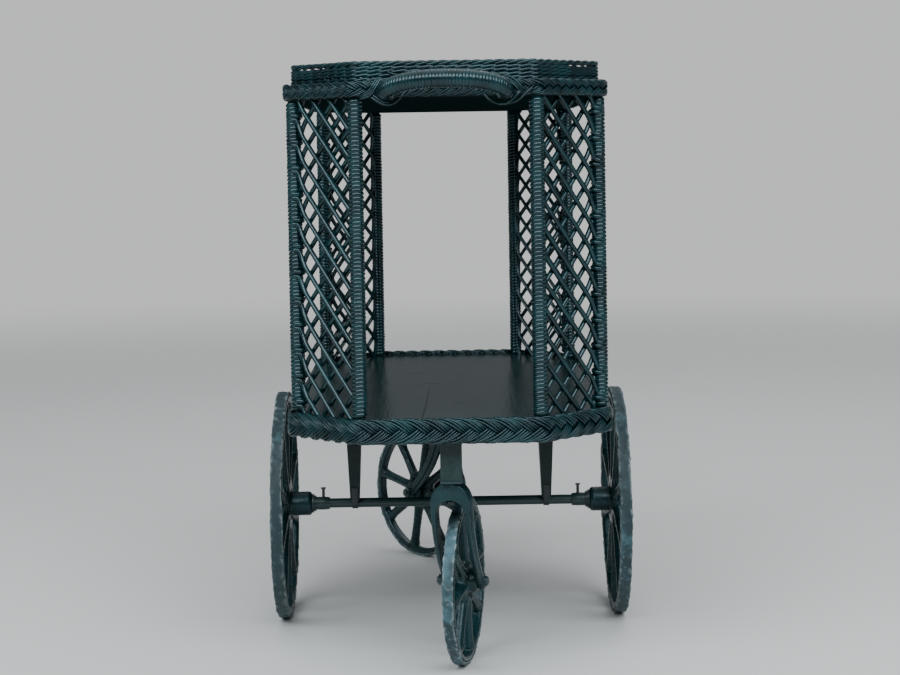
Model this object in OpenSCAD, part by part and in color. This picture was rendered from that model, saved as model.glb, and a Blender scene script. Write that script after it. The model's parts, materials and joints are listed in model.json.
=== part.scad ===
// Wicker tea cart: an eight-cornered tray and shelf on eight bound posts, four corner
// lattices, two large spoked wheels on a central axle and a swivel caster at each end.
// X is across the cart, Y along it, Z up from the floor. The push handle is at -Y.

/* [Plan of the body] */
// Half the distance between the two posts of an end
end_half = 108; // [90:1:130]
// Half the distance between the posts of the two long sides
side_half = 187; // [170:1:230]
// Distance from the axle to the posts of an end
end_y = 372; // [340:1:450]
// Distance from the axle to the posts of a long side
side_y = 293; // [220:1:320]
// Radius of the bend that boards and braids make at a corner
corner_r = 8; // [4:0.5:14]

/* [Posts and lattice] */
// Clear height between the shelf and the tray
post_len = 383; // [300:1:450]
// Diameter of a post's wooden core
post_core_d = 13; // [10:0.5:16]
// Thickness of the reed bound round a post
binding_t = 3; // [2:0.1:4]
// Diameter of a lattice reed
lattice_reed_d = 6; // [4:0.1:7]
// Height from one lattice reed to the next
lattice_pitch = 32; // [28:0.5:48]
// Slope of the lattice reeds in degrees
lattice_slope = 47; // [28:1:56]
// Depth by which crossing reeds press into each other
lattice_press = 0.4; // [0.3:0.05:0.6]

/* [Tray] */
// Thickness of the tray's board
tray_board_t = 12; // [8:0.5:18]
// How far the tray's board stands out from the line of the posts
tray_board_out = 5; // [2:0.5:8]
// Thickness of the braid on the tray's edge
tray_braid_t = 8.5; // [6:0.5:12]
// Height of the braid on the tray's edge
tray_braid_h = 21; // [16:0.5:28]
// Depth of the rebate round the tray's board, in which the gallery stands
rebate_h = 2; // [1:0.5:4]
// Height of the woven gallery and its rim above the tray's board
gallery_h = 32; // [24:0.5:50]
// Thickness of the gallery's weave
gallery_t = 6; // [4:0.5:9]
// How far the middle of the gallery lies inside the line of the posts
gallery_in = 1; // [0:0.5:4]
// Thickness of the gallery's rim
rim_d = 6.4; // [4:0.2:9]
// Height of the open row between the weave and the rim
rim_gap = 3; // [2:0.5:6]
// Diameter of the gallery's stakes
stake_d = 3.6; // [2.6:0.1:4.5]
// Distance from one stake to the next
stake_pitch = 25; // [18:1:40]

/* [Handle] */
// Half the distance between the ends of the handle's bow
handle_half = 70; // [55:1:85]
// How far the bow stands out from the braid
handle_reach = 45; // [38:1:60]
// How far the bow rises from its ends to its middle
handle_rise = 14.5; // [5:0.5:25]
// Diameter of the bound bow
handle_d = 22; // [18:0.5:26]
// Height of the bow's ends above the underside of the tray's board
handle_end_up = 5; // [2:0.5:12]

/* [Shelf] */
// Height of the shelf's upper face above the floor
shelf_top_z = 323; // [322:1:380]
// Thickness of the shelf's boards
shelf_board_t = 19; // [12:0.5:24]
// How far the shelf's boards stand out from the line of the posts
shelf_board_out = 6; // [3:0.5:9]
// Thickness of the braid on the shelf's edge
shelf_braid_t = 9; // [6:0.5:12]
// Height of the braid on the shelf's edge
shelf_braid_h = 28.7; // [22:0.1:36]
// Radius of the corners of the battens and the blocks
wood_corner_r = 2; // [0.5:0.5:4]
// How far the end battens stop short of the posts' line
batten_short = 3; // [0:0.5:8]
// Width of the battens under the shelf
batten_w = 32; // [24:1:44]
// Thickness of the battens under the shelf
batten_t = 15; // [10:0.5:20]

/* [Axle and its legs] */
// Diameter of the axle
axle_d = 13; // [10:0.5:16]
// Distance from the middle to each leg that carries the axle
leg_x = 133; // [110:1:145]
// Width of a leg under the shelf
leg_top_w = 25; // [18:0.5:32]
// Width of a leg at the axle
leg_bottom_w = 12.5; // [10:0.5:18]
// Depth of a leg under the shelf
leg_top_depth = 34; // [26:1:44]
// Depth of a leg at the axle
leg_bottom_depth = 22; // [20:0.5:26]
// Thickness of the strap that holds the axle to a leg
strap_t = 1.5; // [1:0.1:2.5]
// Length of a strap up each face of its leg
strap_up = 24; // [16:1:36]
// Width of the strap
strap_w = 8; // [6:0.5:10]
// Length of a set collar
collar_len = 22; // [16:0.5:28]
// Diameter of a set collar at its flange
collar_d = 22; // [20:0.5:26]
// Thickness of a set collar's flange
collar_flange = 3; // [2:0.5:5]
// Diameter of a collar's set bolt
set_bolt_d = 4; // [3:0.5:5]
// Height of a set bolt's head above the axle's middle
set_bolt_up = 22; // [18:0.5:26]
// Diameter of the washers on the axle
washer_d = 26; // [22:0.5:32]
// Thickness of a washer
washer_t = 2; // [1.5:0.1:3]
// Diameter of the cotter pins at the axle's ends
cotter_d = 2.4; // [2:0.1:3]

/* [Side wheels] */
// Radius of a side wheel over its tyre
side_wheel_r = 156; // [140:1:156]
// Gap between the shelf's braid and a side wheel's tyre
side_wheel_gap = 19.6; // [8:0.2:30]
// Width of a side wheel's tyre
side_tyre_w = 17; // [12:0.5:20]
// Radial depth of a side wheel's cast rim
side_rim_depth = 9; // [7:0.5:14]
// Number of spokes of a side wheel
side_spokes = 10; // [8:1:12]
// Width of a side wheel's spokes
side_spoke_w = 10; // [8:0.5:14]
// Diameter of a side wheel's hub
side_hub_d = 33; // [28:0.5:40]
// Length of the hub on the side of the collar
side_hub_in = 37.5; // [30:0.5:40]
// Length of the hub on the outer side
side_hub_out = 10.5; // [8:0.5:14]
// Radius of the dome at the end of every hub
hub_dome = 4; // [2:0.5:5]
// How far a hub swells where the spokes meet it
hub_swell = 3; // [1:0.5:5]
// Radius of the fillet where a spoke meets the rim
spoke_fillet = 6; // [3:0.5:10]

/* [Casters] */
// Distance from the axle to each caster's swivel
caster_y = 339; // [310:1:345]
// How far a caster's wheel trails behind its swivel
caster_trail = 70; // [50:1:80]
// Radius of a caster's wheel over its tyre
caster_wheel_r = 104; // [90:1:106]
// Angle that the front caster is turned in degrees
front_turn = 12; // [0:1:45]
// Angle that the rear caster is turned in degrees
rear_turn = 41; // [0:1:60]
// Width of a caster wheel's tyre
caster_tyre_w = 15; // [12:0.5:20]
// Radial depth of a caster wheel's cast rim
caster_rim_depth = 7; // [5:0.5:10]
// Number of spokes of a caster's wheel
caster_spokes = 8; // [6:1:10]
// Width of a caster wheel's spokes
caster_spoke_w = 9; // [7:0.5:12]
// Diameter of a caster wheel's hub
caster_hub_d = 30; // [24:0.5:36]
// Half the length of a caster wheel's hub
caster_hub_half = 18; // [15:0.5:21]
// Width of the wooden block above a caster
block_w = 26.5; // [22:0.5:34]
// Length of the block along the cart
block_len = 36; // [28:1:44]
// Thickness of the swivel plate under the block
plate_t = 2.5; // [2:0.1:4]
// Height of the fork's crown
crown_h = 21.4; // [18:0.2:26]
// Gap between the top of the caster's wheel and the arch of its fork
arch_gap = 11; // [8:0.5:20]
// Width of a fork arm at the crown, seen from the side
fork_w = 26; // [20:1:32]
// Width of the rib on a fork arm
rib_w = 6.4; // [4:0.4:9]
// Thickness of a fork arm
fork_t = 5.5; // [4:0.1:8]
// How far the rib stands out from a fork arm
rib_t = 2.5; // [1.5:0.1:3.5]
// Diameter of the swivel's pin
kingpin_d = 10; // [8:0.5:12]
// Thickness of the head of the swivel's pin
pin_head_t = 3; // [2:0.5:5]
// Radius of the swivel plate's corners
plate_corner_r = 5; // [2:0.5:8]
// Diameter of a caster wheel's bolt
wheel_bolt_d = 8; // [6:0.5:10]

/* [Tyres and bushes] */
// Radial thickness of the tyres
tyre_t = 4.5; // [3:0.5:7]
// Wall of the bushes in the hubs
bush_wall = 2.5; // [1.5:0.1:3.5]

/* [Fits] */
// Radial clearance of a shaft or pin in its bore
run_gap = 0.05; // [0.02:0.01:0.09]
// Gap between pieces that are seated on each other
seat_gap = 0.2; // [0.1:0.05:0.3]
// Gap between pieces that turn past each other
side_gap = 0.4; // [0.3:0.05:0.8]

/* [Hidden] */
$fn = 48;

wood_green = [0.07, 0.16, 0.15];
reed_green = [0.06, 0.20, 0.18];
iron_green = [0.05, 0.14, 0.14];
rubber_grey = [0.16, 0.24, 0.25];

left = -1;
right = 1;
front = -1;
rear = 1;

bound_r = post_core_d / 2 + binding_t;
tray_z = shelf_top_z + post_len;
tray_top_z = tray_z + tray_board_t;
tray_face = tray_board_out + seat_gap + tray_braid_t;
shelf_under_z = shelf_top_z - shelf_board_t;
batten_under_z = shelf_under_z - batten_t;
axle_z = side_wheel_r;
axle_r = axle_d / 2;

// The four corner posts of one quarter, and the direction of the cut corner between them
cut_turn = atan2(side_half - end_half, end_y - side_y);
cut_len = norm([side_half - end_half, end_y - side_y]);
POSTS = [
    [side_half, -side_y], [side_half, side_y], [end_half, end_y], [-end_half, end_y],
    [-side_half, side_y], [-side_half, -side_y], [-end_half, -end_y], [end_half, -end_y],
];
FACINGS = [
    0, cut_turn, 90, 180 - cut_turn, 180, 180 + cut_turn, 270, 360 - cut_turn,
];
bend_steps = 4;

// Casters and how far the whole cart reaches fore and aft, which centres it on the origin
crown_under_z = 2 * caster_wheel_r + arch_gap;
crown_top_z = crown_under_z + crown_h;
plate_z = crown_top_z + side_gap;
block_z = plate_z + plate_t;
fork_in = caster_hub_half + side_gap;
fork_out = fork_in + fork_t;
handle_plane = end_y + tray_face + seat_gap;
front_reach = handle_plane + handle_reach + handle_d / 2;
side_wheel_x = side_half + shelf_board_out + seat_gap + shelf_braid_t
    + side_wheel_gap + side_tyre_w / 2;
rear_reach = caster_y + (caster_trail + caster_wheel_r - tyre_edge()) * cos(rear_turn)
    + (caster_tyre_w / 2 - tyre_edge()) * sin(rear_turn) + tyre_edge();
centre_shift = (front_reach - rear_reach) / 2;

function tyre_edge() = tyre_t * 0.5;
function unit(a) = [cos(a), sin(a)];

// Outline of the body at a distance from the line of the posts, bent round every corner
function outline(out) = let(r = max(corner_r + out, 1)) [
    for (i = [0:7])
        let(
            a1 = FACINGS[i],
            a0 = i == 0 ? FACINGS[7] - 360 : FACINGS[i - 1],
            half = (a1 - a0) / 2,
            centre = POSTS[i] + (out - r) / cos(half) * unit((a0 + a1) / 2)
        )
        for (k = [0:bend_steps])
            centre + r * unit(a0 + (a1 - a0) * k / bend_steps)
];

// A closed band that follows the outline, from a closed profile of [out, z] points
module band(profile) {
    rings = [for (p = profile) [for (q = outline(p[0])) [q[0], q[1], p[1]]]];
    n = len(rings[0]);
    m = len(profile);
    polyhedron(
        points = [for (ring = rings) each ring],
        faces = [
            for (i = [0:m - 1])
                let(j = (i + 1) % m)
                for (k = [0:n - 1])
                    let(l = (k + 1) % n)
                    each [
                        [i * n + k, i * n + l, j * n + l],
                        [i * n + k, j * n + l, j * n + k],
                    ]
        ]
    );
}

// Profile of a plump braid: flat at the back, bulging at the front, z measured from its foot
function braid_profile(back, t, foot, h) = let(
    r = min(t, h / 2) * 0.8,
    steps = 3
) [
    [back, foot + h],
    [back, foot],
    for (k = [0:steps])
        [back + t - r + r * sin(90 * k / steps), foot + r - r * cos(90 * k / steps)],
    for (k = [0:steps])
        [back + t - r + r * cos(90 * k / steps), foot + h - r + r * sin(90 * k / steps)],
];

// Regular polygon profile of a rope, as [out, z] points
function rope_profile(mid, z, d, sides) = [
    for (k = [0:sides - 1]) [mid, z] + d / 2 * unit(-360 * (k + 0.5) / sides)
];

module board(out, t) {
    linear_extrude(t) polygon(outline(out));
}

// Rectangle with round corners, centred
function round_rect(w, l, r) = [
    for (c = [[1, 1, 0], [-1, 1, 90], [-1, -1, 180], [1, -1, 270]])
        for (k = [0:3])
            [c[0] * (w / 2 - r), c[1] * (l / 2 - r)] + r * unit(c[2] + 30 * k)
];

// Tray: the board's field stands up inside the gallery, whose foot is in the rebate round it
module top_board() {
    color(wood_green)
        translate([0, centre_shift, tray_z]) {
            board(tray_board_out, tray_board_t - rebate_h);
            board(-gallery_in - max(gallery_t, rim_d) / 2 - side_gap, tray_board_t);
        }
}

module top_braid() {
    color(reed_green) translate([0, centre_shift, 0])
        band(braid_profile(tray_board_out + seat_gap, tray_braid_t, tray_z + seat_gap, tray_braid_h));
}

weave_z = tray_top_z - rebate_h + seat_gap;
weave_h = gallery_h - rim_d - rim_gap - seat_gap + rebate_h;
rim_z = tray_top_z + gallery_h - rim_d / 2;

module gallery_weave() {
    mid = -gallery_in;
    foot = weave_z;
    edge = gallery_t / 4;
    color(reed_green) translate([0, centre_shift, 0])
        band([
            [mid - gallery_t / 2, foot + weave_h - edge],
            [mid - gallery_t / 2, foot],
            [mid + gallery_t / 2, foot],
            [mid + gallery_t / 2, foot + weave_h - edge],
            [mid + gallery_t / 2 - edge, foot + weave_h],
            [mid - gallery_t / 2 + edge, foot + weave_h],
        ]);
}

// The stakes' upper ends stand on the weave and turn down into the rim
module gallery_rim() {
    foot = weave_z + weave_h + seat_gap;
    color(reed_green) translate([0, centre_shift, 0]) {
        band(rope_profile(-gallery_in, rim_z, rim_d, 8));
        for (i = [0:7]) {
            from = POSTS[i];
            to = POSTS[(i + 1) % 8];
            count = round(norm(to - from) / stake_pitch);
            for (k = [0:count - 1]) {
                at = from + (to - from) * (k + 0.5) / count - gallery_in * unit(FACINGS[i]);
                translate([at[0], at[1], foot])
                    rotate([0, 0, FACINGS[i]])
                        cylinder(d = stake_d, h = rim_z - foot, $fn = 8);
            }
        }
    }
}

// Bow handle: part of a ring, tilted up, with its ends cut to the face of the braid
module handle() {
    lean = atan2(handle_rise, handle_reach);
    depth = norm([handle_reach, handle_rise]);
    ring_r = (handle_half * handle_half + depth * depth) / (2 * depth);
    sweep = 2 * asin(handle_half / ring_r) + 40;
    reach_box = 4 * handle_half;
    color(reed_green)
        intersection() {
            translate([0, centre_shift - handle_plane, tray_z + handle_end_up])
                rotate([-lean, 0, 0])
                    translate([0, ring_r - depth, 0])
                        rotate([0, 0, -90 - sweep / 2])
                            rotate_extrude(angle = sweep)
                                translate([ring_r, 0])
                                    circle(d = handle_d);
            translate([-reach_box / 2, centre_shift - handle_plane - reach_box, tray_z - reach_box / 2])
                cube([reach_box, reach_box, reach_box]);
        }
}

// Posts, their bindings and the lattices between them
module post(x, y) {
    color(wood_green) translate([x, y + centre_shift, shelf_top_z])
        cylinder(d = post_core_d, h = post_len);
}

module sleeve() {
    difference() {
        translate([0, 0, seat_gap]) cylinder(r = bound_r, h = post_len - 2 * seat_gap);
        cylinder(r = post_core_d / 2 + run_gap, h = post_len);
    }
}

module at_corner(side, end) {
    translate([0, centre_shift, shelf_top_z])
        mirror([side < 0 ? 1 : 0, 0, 0])
            mirror([0, end < 0 ? 1 : 0, 0])
                children();
}

module binding(side, end) {
    color(reed_green)
        at_corner(side, end) {
            translate([end_half, end_y, 0]) sleeve();
            translate([side_half, side_y, 0]) sleeve();
        }
}

module reed(l) {
    rotate([0, 0, 22.5]) cylinder(d = lattice_reed_d, h = l, center = true, $fn = 8);
}

// Two crossing sets of reeds from post to post, cut to the posts and to the boards
module lattice(side, end) {
    rise = cut_len * tan(lattice_slope);
    first = -ceil(rise / lattice_pitch);
    last = floor(post_len / lattice_pitch);
    reed_len = cut_len / cos(lattice_slope);
    layer = (lattice_reed_d - lattice_press) / 2 * cos(180 / 8);
    mid_z = (rise + lattice_pitch) / 2;
    color(reed_green)
        at_corner(side, end)
            translate([end_half, end_y, 0])
                rotate([0, 0, cut_turn - 90])
                    difference() {
                        intersection() {
                            union() {
                                for (set = [-1, 1])
                                    for (k = [first:last])
                                        translate([cut_len / 2, set * layer, mid_z + k * lattice_pitch])
                                            rotate([0, 90 - set * lattice_slope, 0])
                                                reed(reed_len);
                            }
                            translate([0, -lattice_reed_d * 2, seat_gap])
                                cube([cut_len, lattice_reed_d * 4, post_len - 2 * seat_gap]);
                        }
                        translate([0, 0, -1]) cylinder(r = bound_r + seat_gap, h = post_len + 2);
                        translate([cut_len, 0, -1]) cylinder(r = bound_r + seat_gap, h = post_len + 2);
                    }
}

// Shelf: two boards joined along the middle, an edge braid and three battens
module shelf_board(side) {
    half = side_half + shelf_board_out;
    color(wood_green)
        translate([0, centre_shift, shelf_under_z])
            linear_extrude(shelf_board_t)
                intersection() {
                    polygon(outline(shelf_board_out));
                    translate([side < 0 ? -2 * half : 0, -2 * end_y]) square([2 * half, 4 * end_y]);
                }
}

module shelf_braid() {
    color(reed_green) translate([0, centre_shift, 0])
        band(braid_profile(
            shelf_board_out + seat_gap, shelf_braid_t,
            shelf_top_z - seat_gap - shelf_braid_h, shelf_braid_h
        ));
}

module batten(y, half) {
    color(wood_green)
        translate([0, y + centre_shift, batten_under_z])
            linear_extrude(batten_t)
                polygon(round_rect(2 * half, batten_w, wood_corner_r));
}

// Axle, the legs that carry it and what is on it
hub_in_x = side_wheel_x - side_hub_in;
hub_out_x = side_wheel_x + side_hub_out;
washer_in_x = hub_in_x - side_gap - washer_t;
collar_x = washer_in_x - seat_gap - collar_len;
set_bolt_x = collar_x + collar_len * 0.4;
washer_out_x = hub_out_x + side_gap;
cotter_x = washer_out_x + washer_t + seat_gap + cotter_d / 2;
axle_half = cotter_x + cotter_d * 1.6;
cotter_len = axle_d * 1.7;

module across(side) {
    translate([0, centre_shift, axle_z])
        rotate([0, side * 90, 0])
            rotate([0, 0, side < 0 ? 180 : 0])
                children();
}

module axle() {
    color(iron_green)
        difference() {
            across(right) cylinder(r = axle_r, h = 2 * axle_half, center = true);
            for (side = [left, right])
                translate([side * cotter_x, centre_shift, axle_z])
                    cylinder(d = cotter_d + 2 * run_gap, h = axle_d * 2, center = true, $fn = 24);
        }
}

leg_foot_z = axle_z + axle_r * 0.6;

module leg(side) {
    h = shelf_under_z - leg_foot_z;
    color(wood_green)
        difference() {
            translate([side * leg_x, centre_shift, leg_foot_z])
                intersection() {
                    rotate([90, 0, 0])
                        linear_extrude(leg_top_depth * 2, center = true)
                            polygon([
                                [-leg_bottom_w / 2, 0], [leg_bottom_w / 2, 0],
                                [leg_top_w / 2, h], [-leg_top_w / 2, h],
                            ]);
                    rotate([90, 0, 90])
                        linear_extrude(leg_top_w * 2, center = true)
                            polygon([
                                [-leg_bottom_depth / 2, 0], [leg_bottom_depth / 2, 0],
                                [leg_top_depth / 2, h], [-leg_top_depth / 2, h],
                            ]);
                }
            across(right) cylinder(r = axle_r + seat_gap, h = 4 * leg_x, center = true);
        }
}

// A strap passes under the axle and up both faces of a leg
module leg_straps() {
    lean = atan2((leg_top_depth - leg_bottom_depth) / 2, shelf_under_z - leg_foot_z);
    color(iron_green)
        for (side = [left, right])
            translate([side * leg_x, centre_shift, 0]) {
                difference() {
                    translate([0, 0, axle_z])
                        rotate([0, 90, 0])
                            cylinder(r = axle_r + run_gap + strap_t, h = strap_w, center = true);
                    translate([0, 0, axle_z])
                        rotate([0, 90, 0])
                            cylinder(r = axle_r + run_gap, h = strap_w * 2, center = true);
                    translate([-strap_w, -leg_top_depth, axle_z])
                        cube([2 * strap_w, 2 * leg_top_depth, axle_d * 2]);
                }
                for (face = [-1, 1]) {
                    foot_y = leg_bottom_depth / 2 + seat_gap;
                    near_y = face > 0 ? axle_r + run_gap : -foot_y - strap_t;
                    translate([-strap_w / 2, near_y, axle_z - strap_t])
                        cube([strap_w, foot_y + strap_t - axle_r - run_gap, strap_t]);
                    translate([-strap_w / 2, face * foot_y, leg_foot_z])
                        rotate([-face * lean, 0, 0])
                            translate([0, face > 0 ? 0 : -strap_t, axle_z - leg_foot_z - strap_t])
                                cube([strap_w, strap_t, strap_up]);
                }
            }
}

// Set collars: a flange against the washer and a body that narrows along the axle
module axle_collars() {
    flange_at = collar_len - collar_flange;
    body_r = collar_d / 2 - 2;
    nose_r = axle_r + 1.8;
    color(iron_green)
        difference() {
            for (side = [left, right])
                across(side)
                    translate([0, 0, collar_x])
                        rotate_extrude()
                            polygon([
                                [axle_r + run_gap, 0], [nose_r, 0], [body_r, collar_len * 0.3],
                                [body_r, flange_at], [collar_d / 2, flange_at],
                                [collar_d / 2, collar_len], [axle_r + run_gap, collar_len],
                            ]);
            for (side = [left, right])
                translate([side * set_bolt_x, centre_shift, axle_z])
                    cylinder(d = set_bolt_d + 2 * run_gap, h = collar_d, $fn = 24);
        }
}

module collar_bolts() {
    head_w = set_bolt_d * 1.7;
    head_h = set_bolt_d * 0.6;
    color(iron_green)
        for (side = [left, right])
            translate([side * set_bolt_x, centre_shift, axle_z]) {
                translate([0, 0, axle_r + seat_gap])
                    cylinder(d = set_bolt_d, h = set_bolt_up - axle_r - seat_gap, $fn = 24);
                translate([0, 0, set_bolt_up - head_h])
                    rotate([90, 0, 0])
                        linear_extrude(head_w * 0.7, center = true)
                            polygon([
                                [-head_w / 2, head_h * 0.3], [head_w / 2, head_h * 0.3],
                                [head_w / 2, head_h], [-head_w / 2, head_h],
                            ]);
            }
}

module ring(d, hole_d, t) {
    difference() {
        cylinder(d = d, h = t);
        translate([0, 0, -1]) cylinder(d = hole_d, h = t + 2);
    }
}

module axle_washers() {
    color(iron_green)
        for (side = [left, right])
            across(side)
                for (x = [washer_in_x, washer_out_x])
                    translate([0, 0, x]) ring(washer_d, axle_d + 2 * run_gap, washer_t);
}

module cotter_pins() {
    color(iron_green)
        for (side = [left, right])
            translate([side * cotter_x, centre_shift, axle_z]) {
                cylinder(d = cotter_d, h = cotter_len, center = true, $fn = 24);
                translate([0, 0, cotter_len / 2 + cotter_d * 0.6])
                    rotate([0, 90, 0])
                        rotate_extrude($fn = 24)
                            translate([cotter_d, 0]) circle(d = cotter_d, $fn = 16);
            }
}

// Wheels, drawn about the Z axis with the middle of the tread at z = 0
function gap_outline(n, r, w, root, toe) = let(
    beta = 180 / n,
    hub_at = (root + w / 2) / sin(beta),
    toe_turn = asin((w / 2 + toe) / (r - toe)),
    steps = 5
) [
    for (k = [0:steps])
        [hub_at, 0] + root * unit(beta + 90 + (180 - 2 * beta) * k / steps),
    for (k = [0:steps])
        (r - toe) * unit(toe_turn - beta)
            + toe * unit(-beta - 90 + (90 + toe_turn) * k / steps),
    for (k = [1:steps - 1])
        r * unit((beta - toe_turn) * (2 * k / steps - 1)),
    for (k = [0:steps])
        (r - toe) * unit(beta - toe_turn)
            + toe * unit(beta - toe_turn + (90 + toe_turn) * k / steps),
];

module spoke_plate(n, r, w, root, toe, t) {
    linear_extrude(t, center = true)
        difference() {
            circle(r = r + 2);
            for (i = [0:n - 1])
                rotate([0, 0, 360 * (i + 0.5) / n])
                    polygon(gap_outline(n, r + 0.6, w, root, toe));
        }
}

// One casting: rim, ribbed spokes that widen into rim and hub, and a domed hub with its bore
module wheel_casting(r, rim_depth, rim_w, n, spoke_w, hub_d, hub_in, hub_out, bore_d) {
    rim_in = r - rim_depth;
    dome = hub_dome;
    swell = hub_d / 2 + hub_swell;
    difference() {
        union() {
            rotate_extrude()
                polygon([
                    [rim_in, -rim_w / 2 + 2], [rim_in + 2, -rim_w / 2], [r, -rim_w / 2],
                    [r, rim_w / 2], [rim_in + 2, rim_w / 2], [rim_in, rim_w / 2 - 2],
                ]);
            spoke_plate(n, rim_in, spoke_w, rim_depth * 1.2, spoke_fillet, rim_w * 0.42);
            spoke_plate(n, rim_in, spoke_w * 0.45, rim_depth * 1.2, spoke_fillet * 4 / 3, rim_w * 0.74);
            rotate_extrude()
                polygon([
                    [0, -hub_in], [hub_d / 2 - dome, -hub_in],
                    [hub_d / 2 - dome * 0.3, -hub_in + dome * 0.3], [hub_d / 2, -hub_in + dome],
                    [hub_d / 2, -rim_w / 2 - 1], [swell, -rim_w / 4], [swell, rim_w / 4],
                    [hub_d / 2, min(rim_w / 2 + 1, hub_out - dome / 2)],
                    [hub_d / 2 - dome / 2, hub_out], [0, hub_out],
                ]);
        }
        translate([0, 0, -2 * hub_in]) cylinder(d = bore_d, h = 4 * hub_in);
    }
}

module tyre(r, w) {
    inner = r - tyre_t;
    edge = tyre_edge();
    rotate_extrude()
        polygon([
            [inner, -w / 2 + edge * 0.3], [inner + edge * 0.5, -w / 2],
            for (k = [0:4]) [r - edge + edge * sin(22.5 * k), -w / 2 + edge - edge * cos(22.5 * k)],
            for (k = [0:4]) [r - edge + edge * cos(22.5 * k), w / 2 - edge + edge * sin(22.5 * k)],
            [inner + edge * 0.5, w / 2], [inner, w / 2 - edge * 0.3],
        ]);
}

module bush(bore_d, back, ahead) {
    translate([0, 0, -back])
        ring(bore_d + 2 * (run_gap + bush_wall), bore_d + 2 * run_gap, back + ahead);
}

function bush_bore(d) = d + 2 * (2 * run_gap + bush_wall);

// A side wheel's axis points outward, so its long hub faces the middle of the cart
module at_side(side) {
    across(side) translate([0, 0, side_wheel_x]) children();
}

module side_wheel(side) {
    color(iron_green)
        at_side(side)
            wheel_casting(
                side_wheel_r - tyre_t - seat_gap, side_rim_depth, side_tyre_w - 1, side_spokes,
                side_spoke_w, side_hub_d, side_hub_in, side_hub_out, bush_bore(axle_d)
            );
}

module side_tyre(side) {
    color(rubber_grey) at_side(side) tyre(side_wheel_r, side_tyre_w);
}

module side_bush(side) {
    color(iron_green) at_side(side) bush(axle_d, side_hub_in, side_hub_out);
}

// Casters, drawn about the swivel with the wheel trailing towards +Y
module at_caster(end) {
    translate([0, end * caster_y + centre_shift, 0])
        rotate([0, 0, end < 0 ? -front_turn : rear_turn])
            children();
}

module at_caster_wheel(end) {
    at_caster(end)
        translate([0, caster_trail, caster_wheel_r])
            rotate([0, 90, 0])
                rotate([0, 0, 90 / caster_spokes])
                    children();
}

module block(end) {
    color(wood_green)
        translate([0, end * caster_y + centre_shift, block_z])
            linear_extrude(batten_under_z - block_z)
                polygon(round_rect(block_w, block_len, wood_corner_r));
}

// Plate under the block with the riveted pin that the fork turns on
module swivel_plate(end) {
    head_r = kingpin_d * 0.75;
    head_z = crown_under_z - fork_in + sqrt(fork_in * fork_in - head_r * head_r) - side_gap;
    color(iron_green)
        translate([0, end * caster_y + centre_shift, 0]) {
            translate([0, 0, plate_z])
                linear_extrude(plate_t)
                    polygon(round_rect(block_w + 1, block_len + 4, plate_corner_r));
            translate([0, 0, head_z - 1])
                cylinder(d = kingpin_d, h = plate_z - head_z + 2);
            translate([0, 0, head_z - pin_head_t])
                cylinder(r = head_r, h = pin_head_t);
        }
}

// Middle line of a fork arm seen from the side, from the crown to the wheel's bolt
function arm_point(t) = let(
    p0 = [0, crown_top_z + 4],
    p1 = [-caster_trail * 0.12, caster_wheel_r + (crown_top_z - caster_wheel_r) * 0.45],
    p2 = [caster_trail, caster_wheel_r]
) (1 - t) * (1 - t) * p0 + 2 * t * (1 - t) * p1 + t * t * p2;

function arm_slope(t) = let(d = arm_point(t + 0.01) - arm_point(t - 0.01)) d / norm(d);

module arm_side(wide, narrow) {
    steps = 12;
    polygon([
        for (k = [0:steps])
            let(t = k / steps, s = arm_slope(t), w = wide + (narrow - wide) * t)
            arm_point(t) + w * [-s[1], s[0]],
        for (k = [steps:-1:0])
            let(t = k / steps, s = arm_slope(t), w = wide + (narrow - wide) * t)
            arm_point(t) - w * [-s[1], s[0]],
    ]);
}

module arm_front(out) {
    difference() {
        union() {
            translate([0, crown_top_z - out]) circle(r = out);
            translate([-out, 0]) square([2 * out, crown_top_z - out]);
        }
        translate([0, crown_under_z - fork_in]) circle(r = fork_in);
        translate([-fork_in, -1]) square([2 * fork_in, crown_under_z - fork_in + 1]);
    }
}

module arms(wide, narrow, out) {
    intersection() {
        rotate([90, 0, 90])
            linear_extrude(4 * out, center = true)
                arm_side(wide, narrow);
        rotate([90, 0, 0])
            linear_extrude(8 * caster_trail, center = true)
                arm_front(out);
    }
}

module fork(end) {
    boss_r = wheel_bolt_d * 1.25;
    color(iron_green)
        at_caster(end)
            difference() {
                union() {
                    arms(fork_w / 2, boss_r * 0.75, fork_out);
                    arms(rib_w / 2, rib_w * 0.4, fork_out + rib_t);
                    for (near_x = [fork_in, -fork_in - fork_t - rib_t])
                        translate([near_x, caster_trail, caster_wheel_r])
                            rotate([0, 90, 0])
                                cylinder(r = boss_r, h = fork_t + rib_t);
                }
                translate([0, 0, crown_under_z - crown_h])
                    cylinder(d = kingpin_d + 2 * run_gap, h = 3 * crown_h);
                translate([-2 * fork_out, caster_trail, caster_wheel_r])
                    rotate([0, 90, 0])
                        cylinder(d = wheel_bolt_d + 2 * run_gap, h = 4 * fork_out);
            }
}

bolt_seat = fork_out + rib_t + seat_gap;

module wheel_bolt(end) {
    head_d = wheel_bolt_d * 1.6;
    head_h = wheel_bolt_d * 0.6;
    color(iron_green)
        at_caster(end)
            translate([0, caster_trail, caster_wheel_r])
                rotate([0, 90, 0]) {
                    translate([0, 0, -bolt_seat - wheel_bolt_d])
                        cylinder(d = wheel_bolt_d, h = 2 * bolt_seat + wheel_bolt_d + 1);
                    translate([0, 0, bolt_seat])
                        rotate_extrude()
                            polygon([
                                [0, 0], [head_d / 2, 0], [head_d / 2, head_h * 0.45],
                                [head_d / 2 * 0.8, head_h * 0.8], [head_d / 2 * 0.4, head_h], [0, head_h],
                            ]);
                }
}

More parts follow.
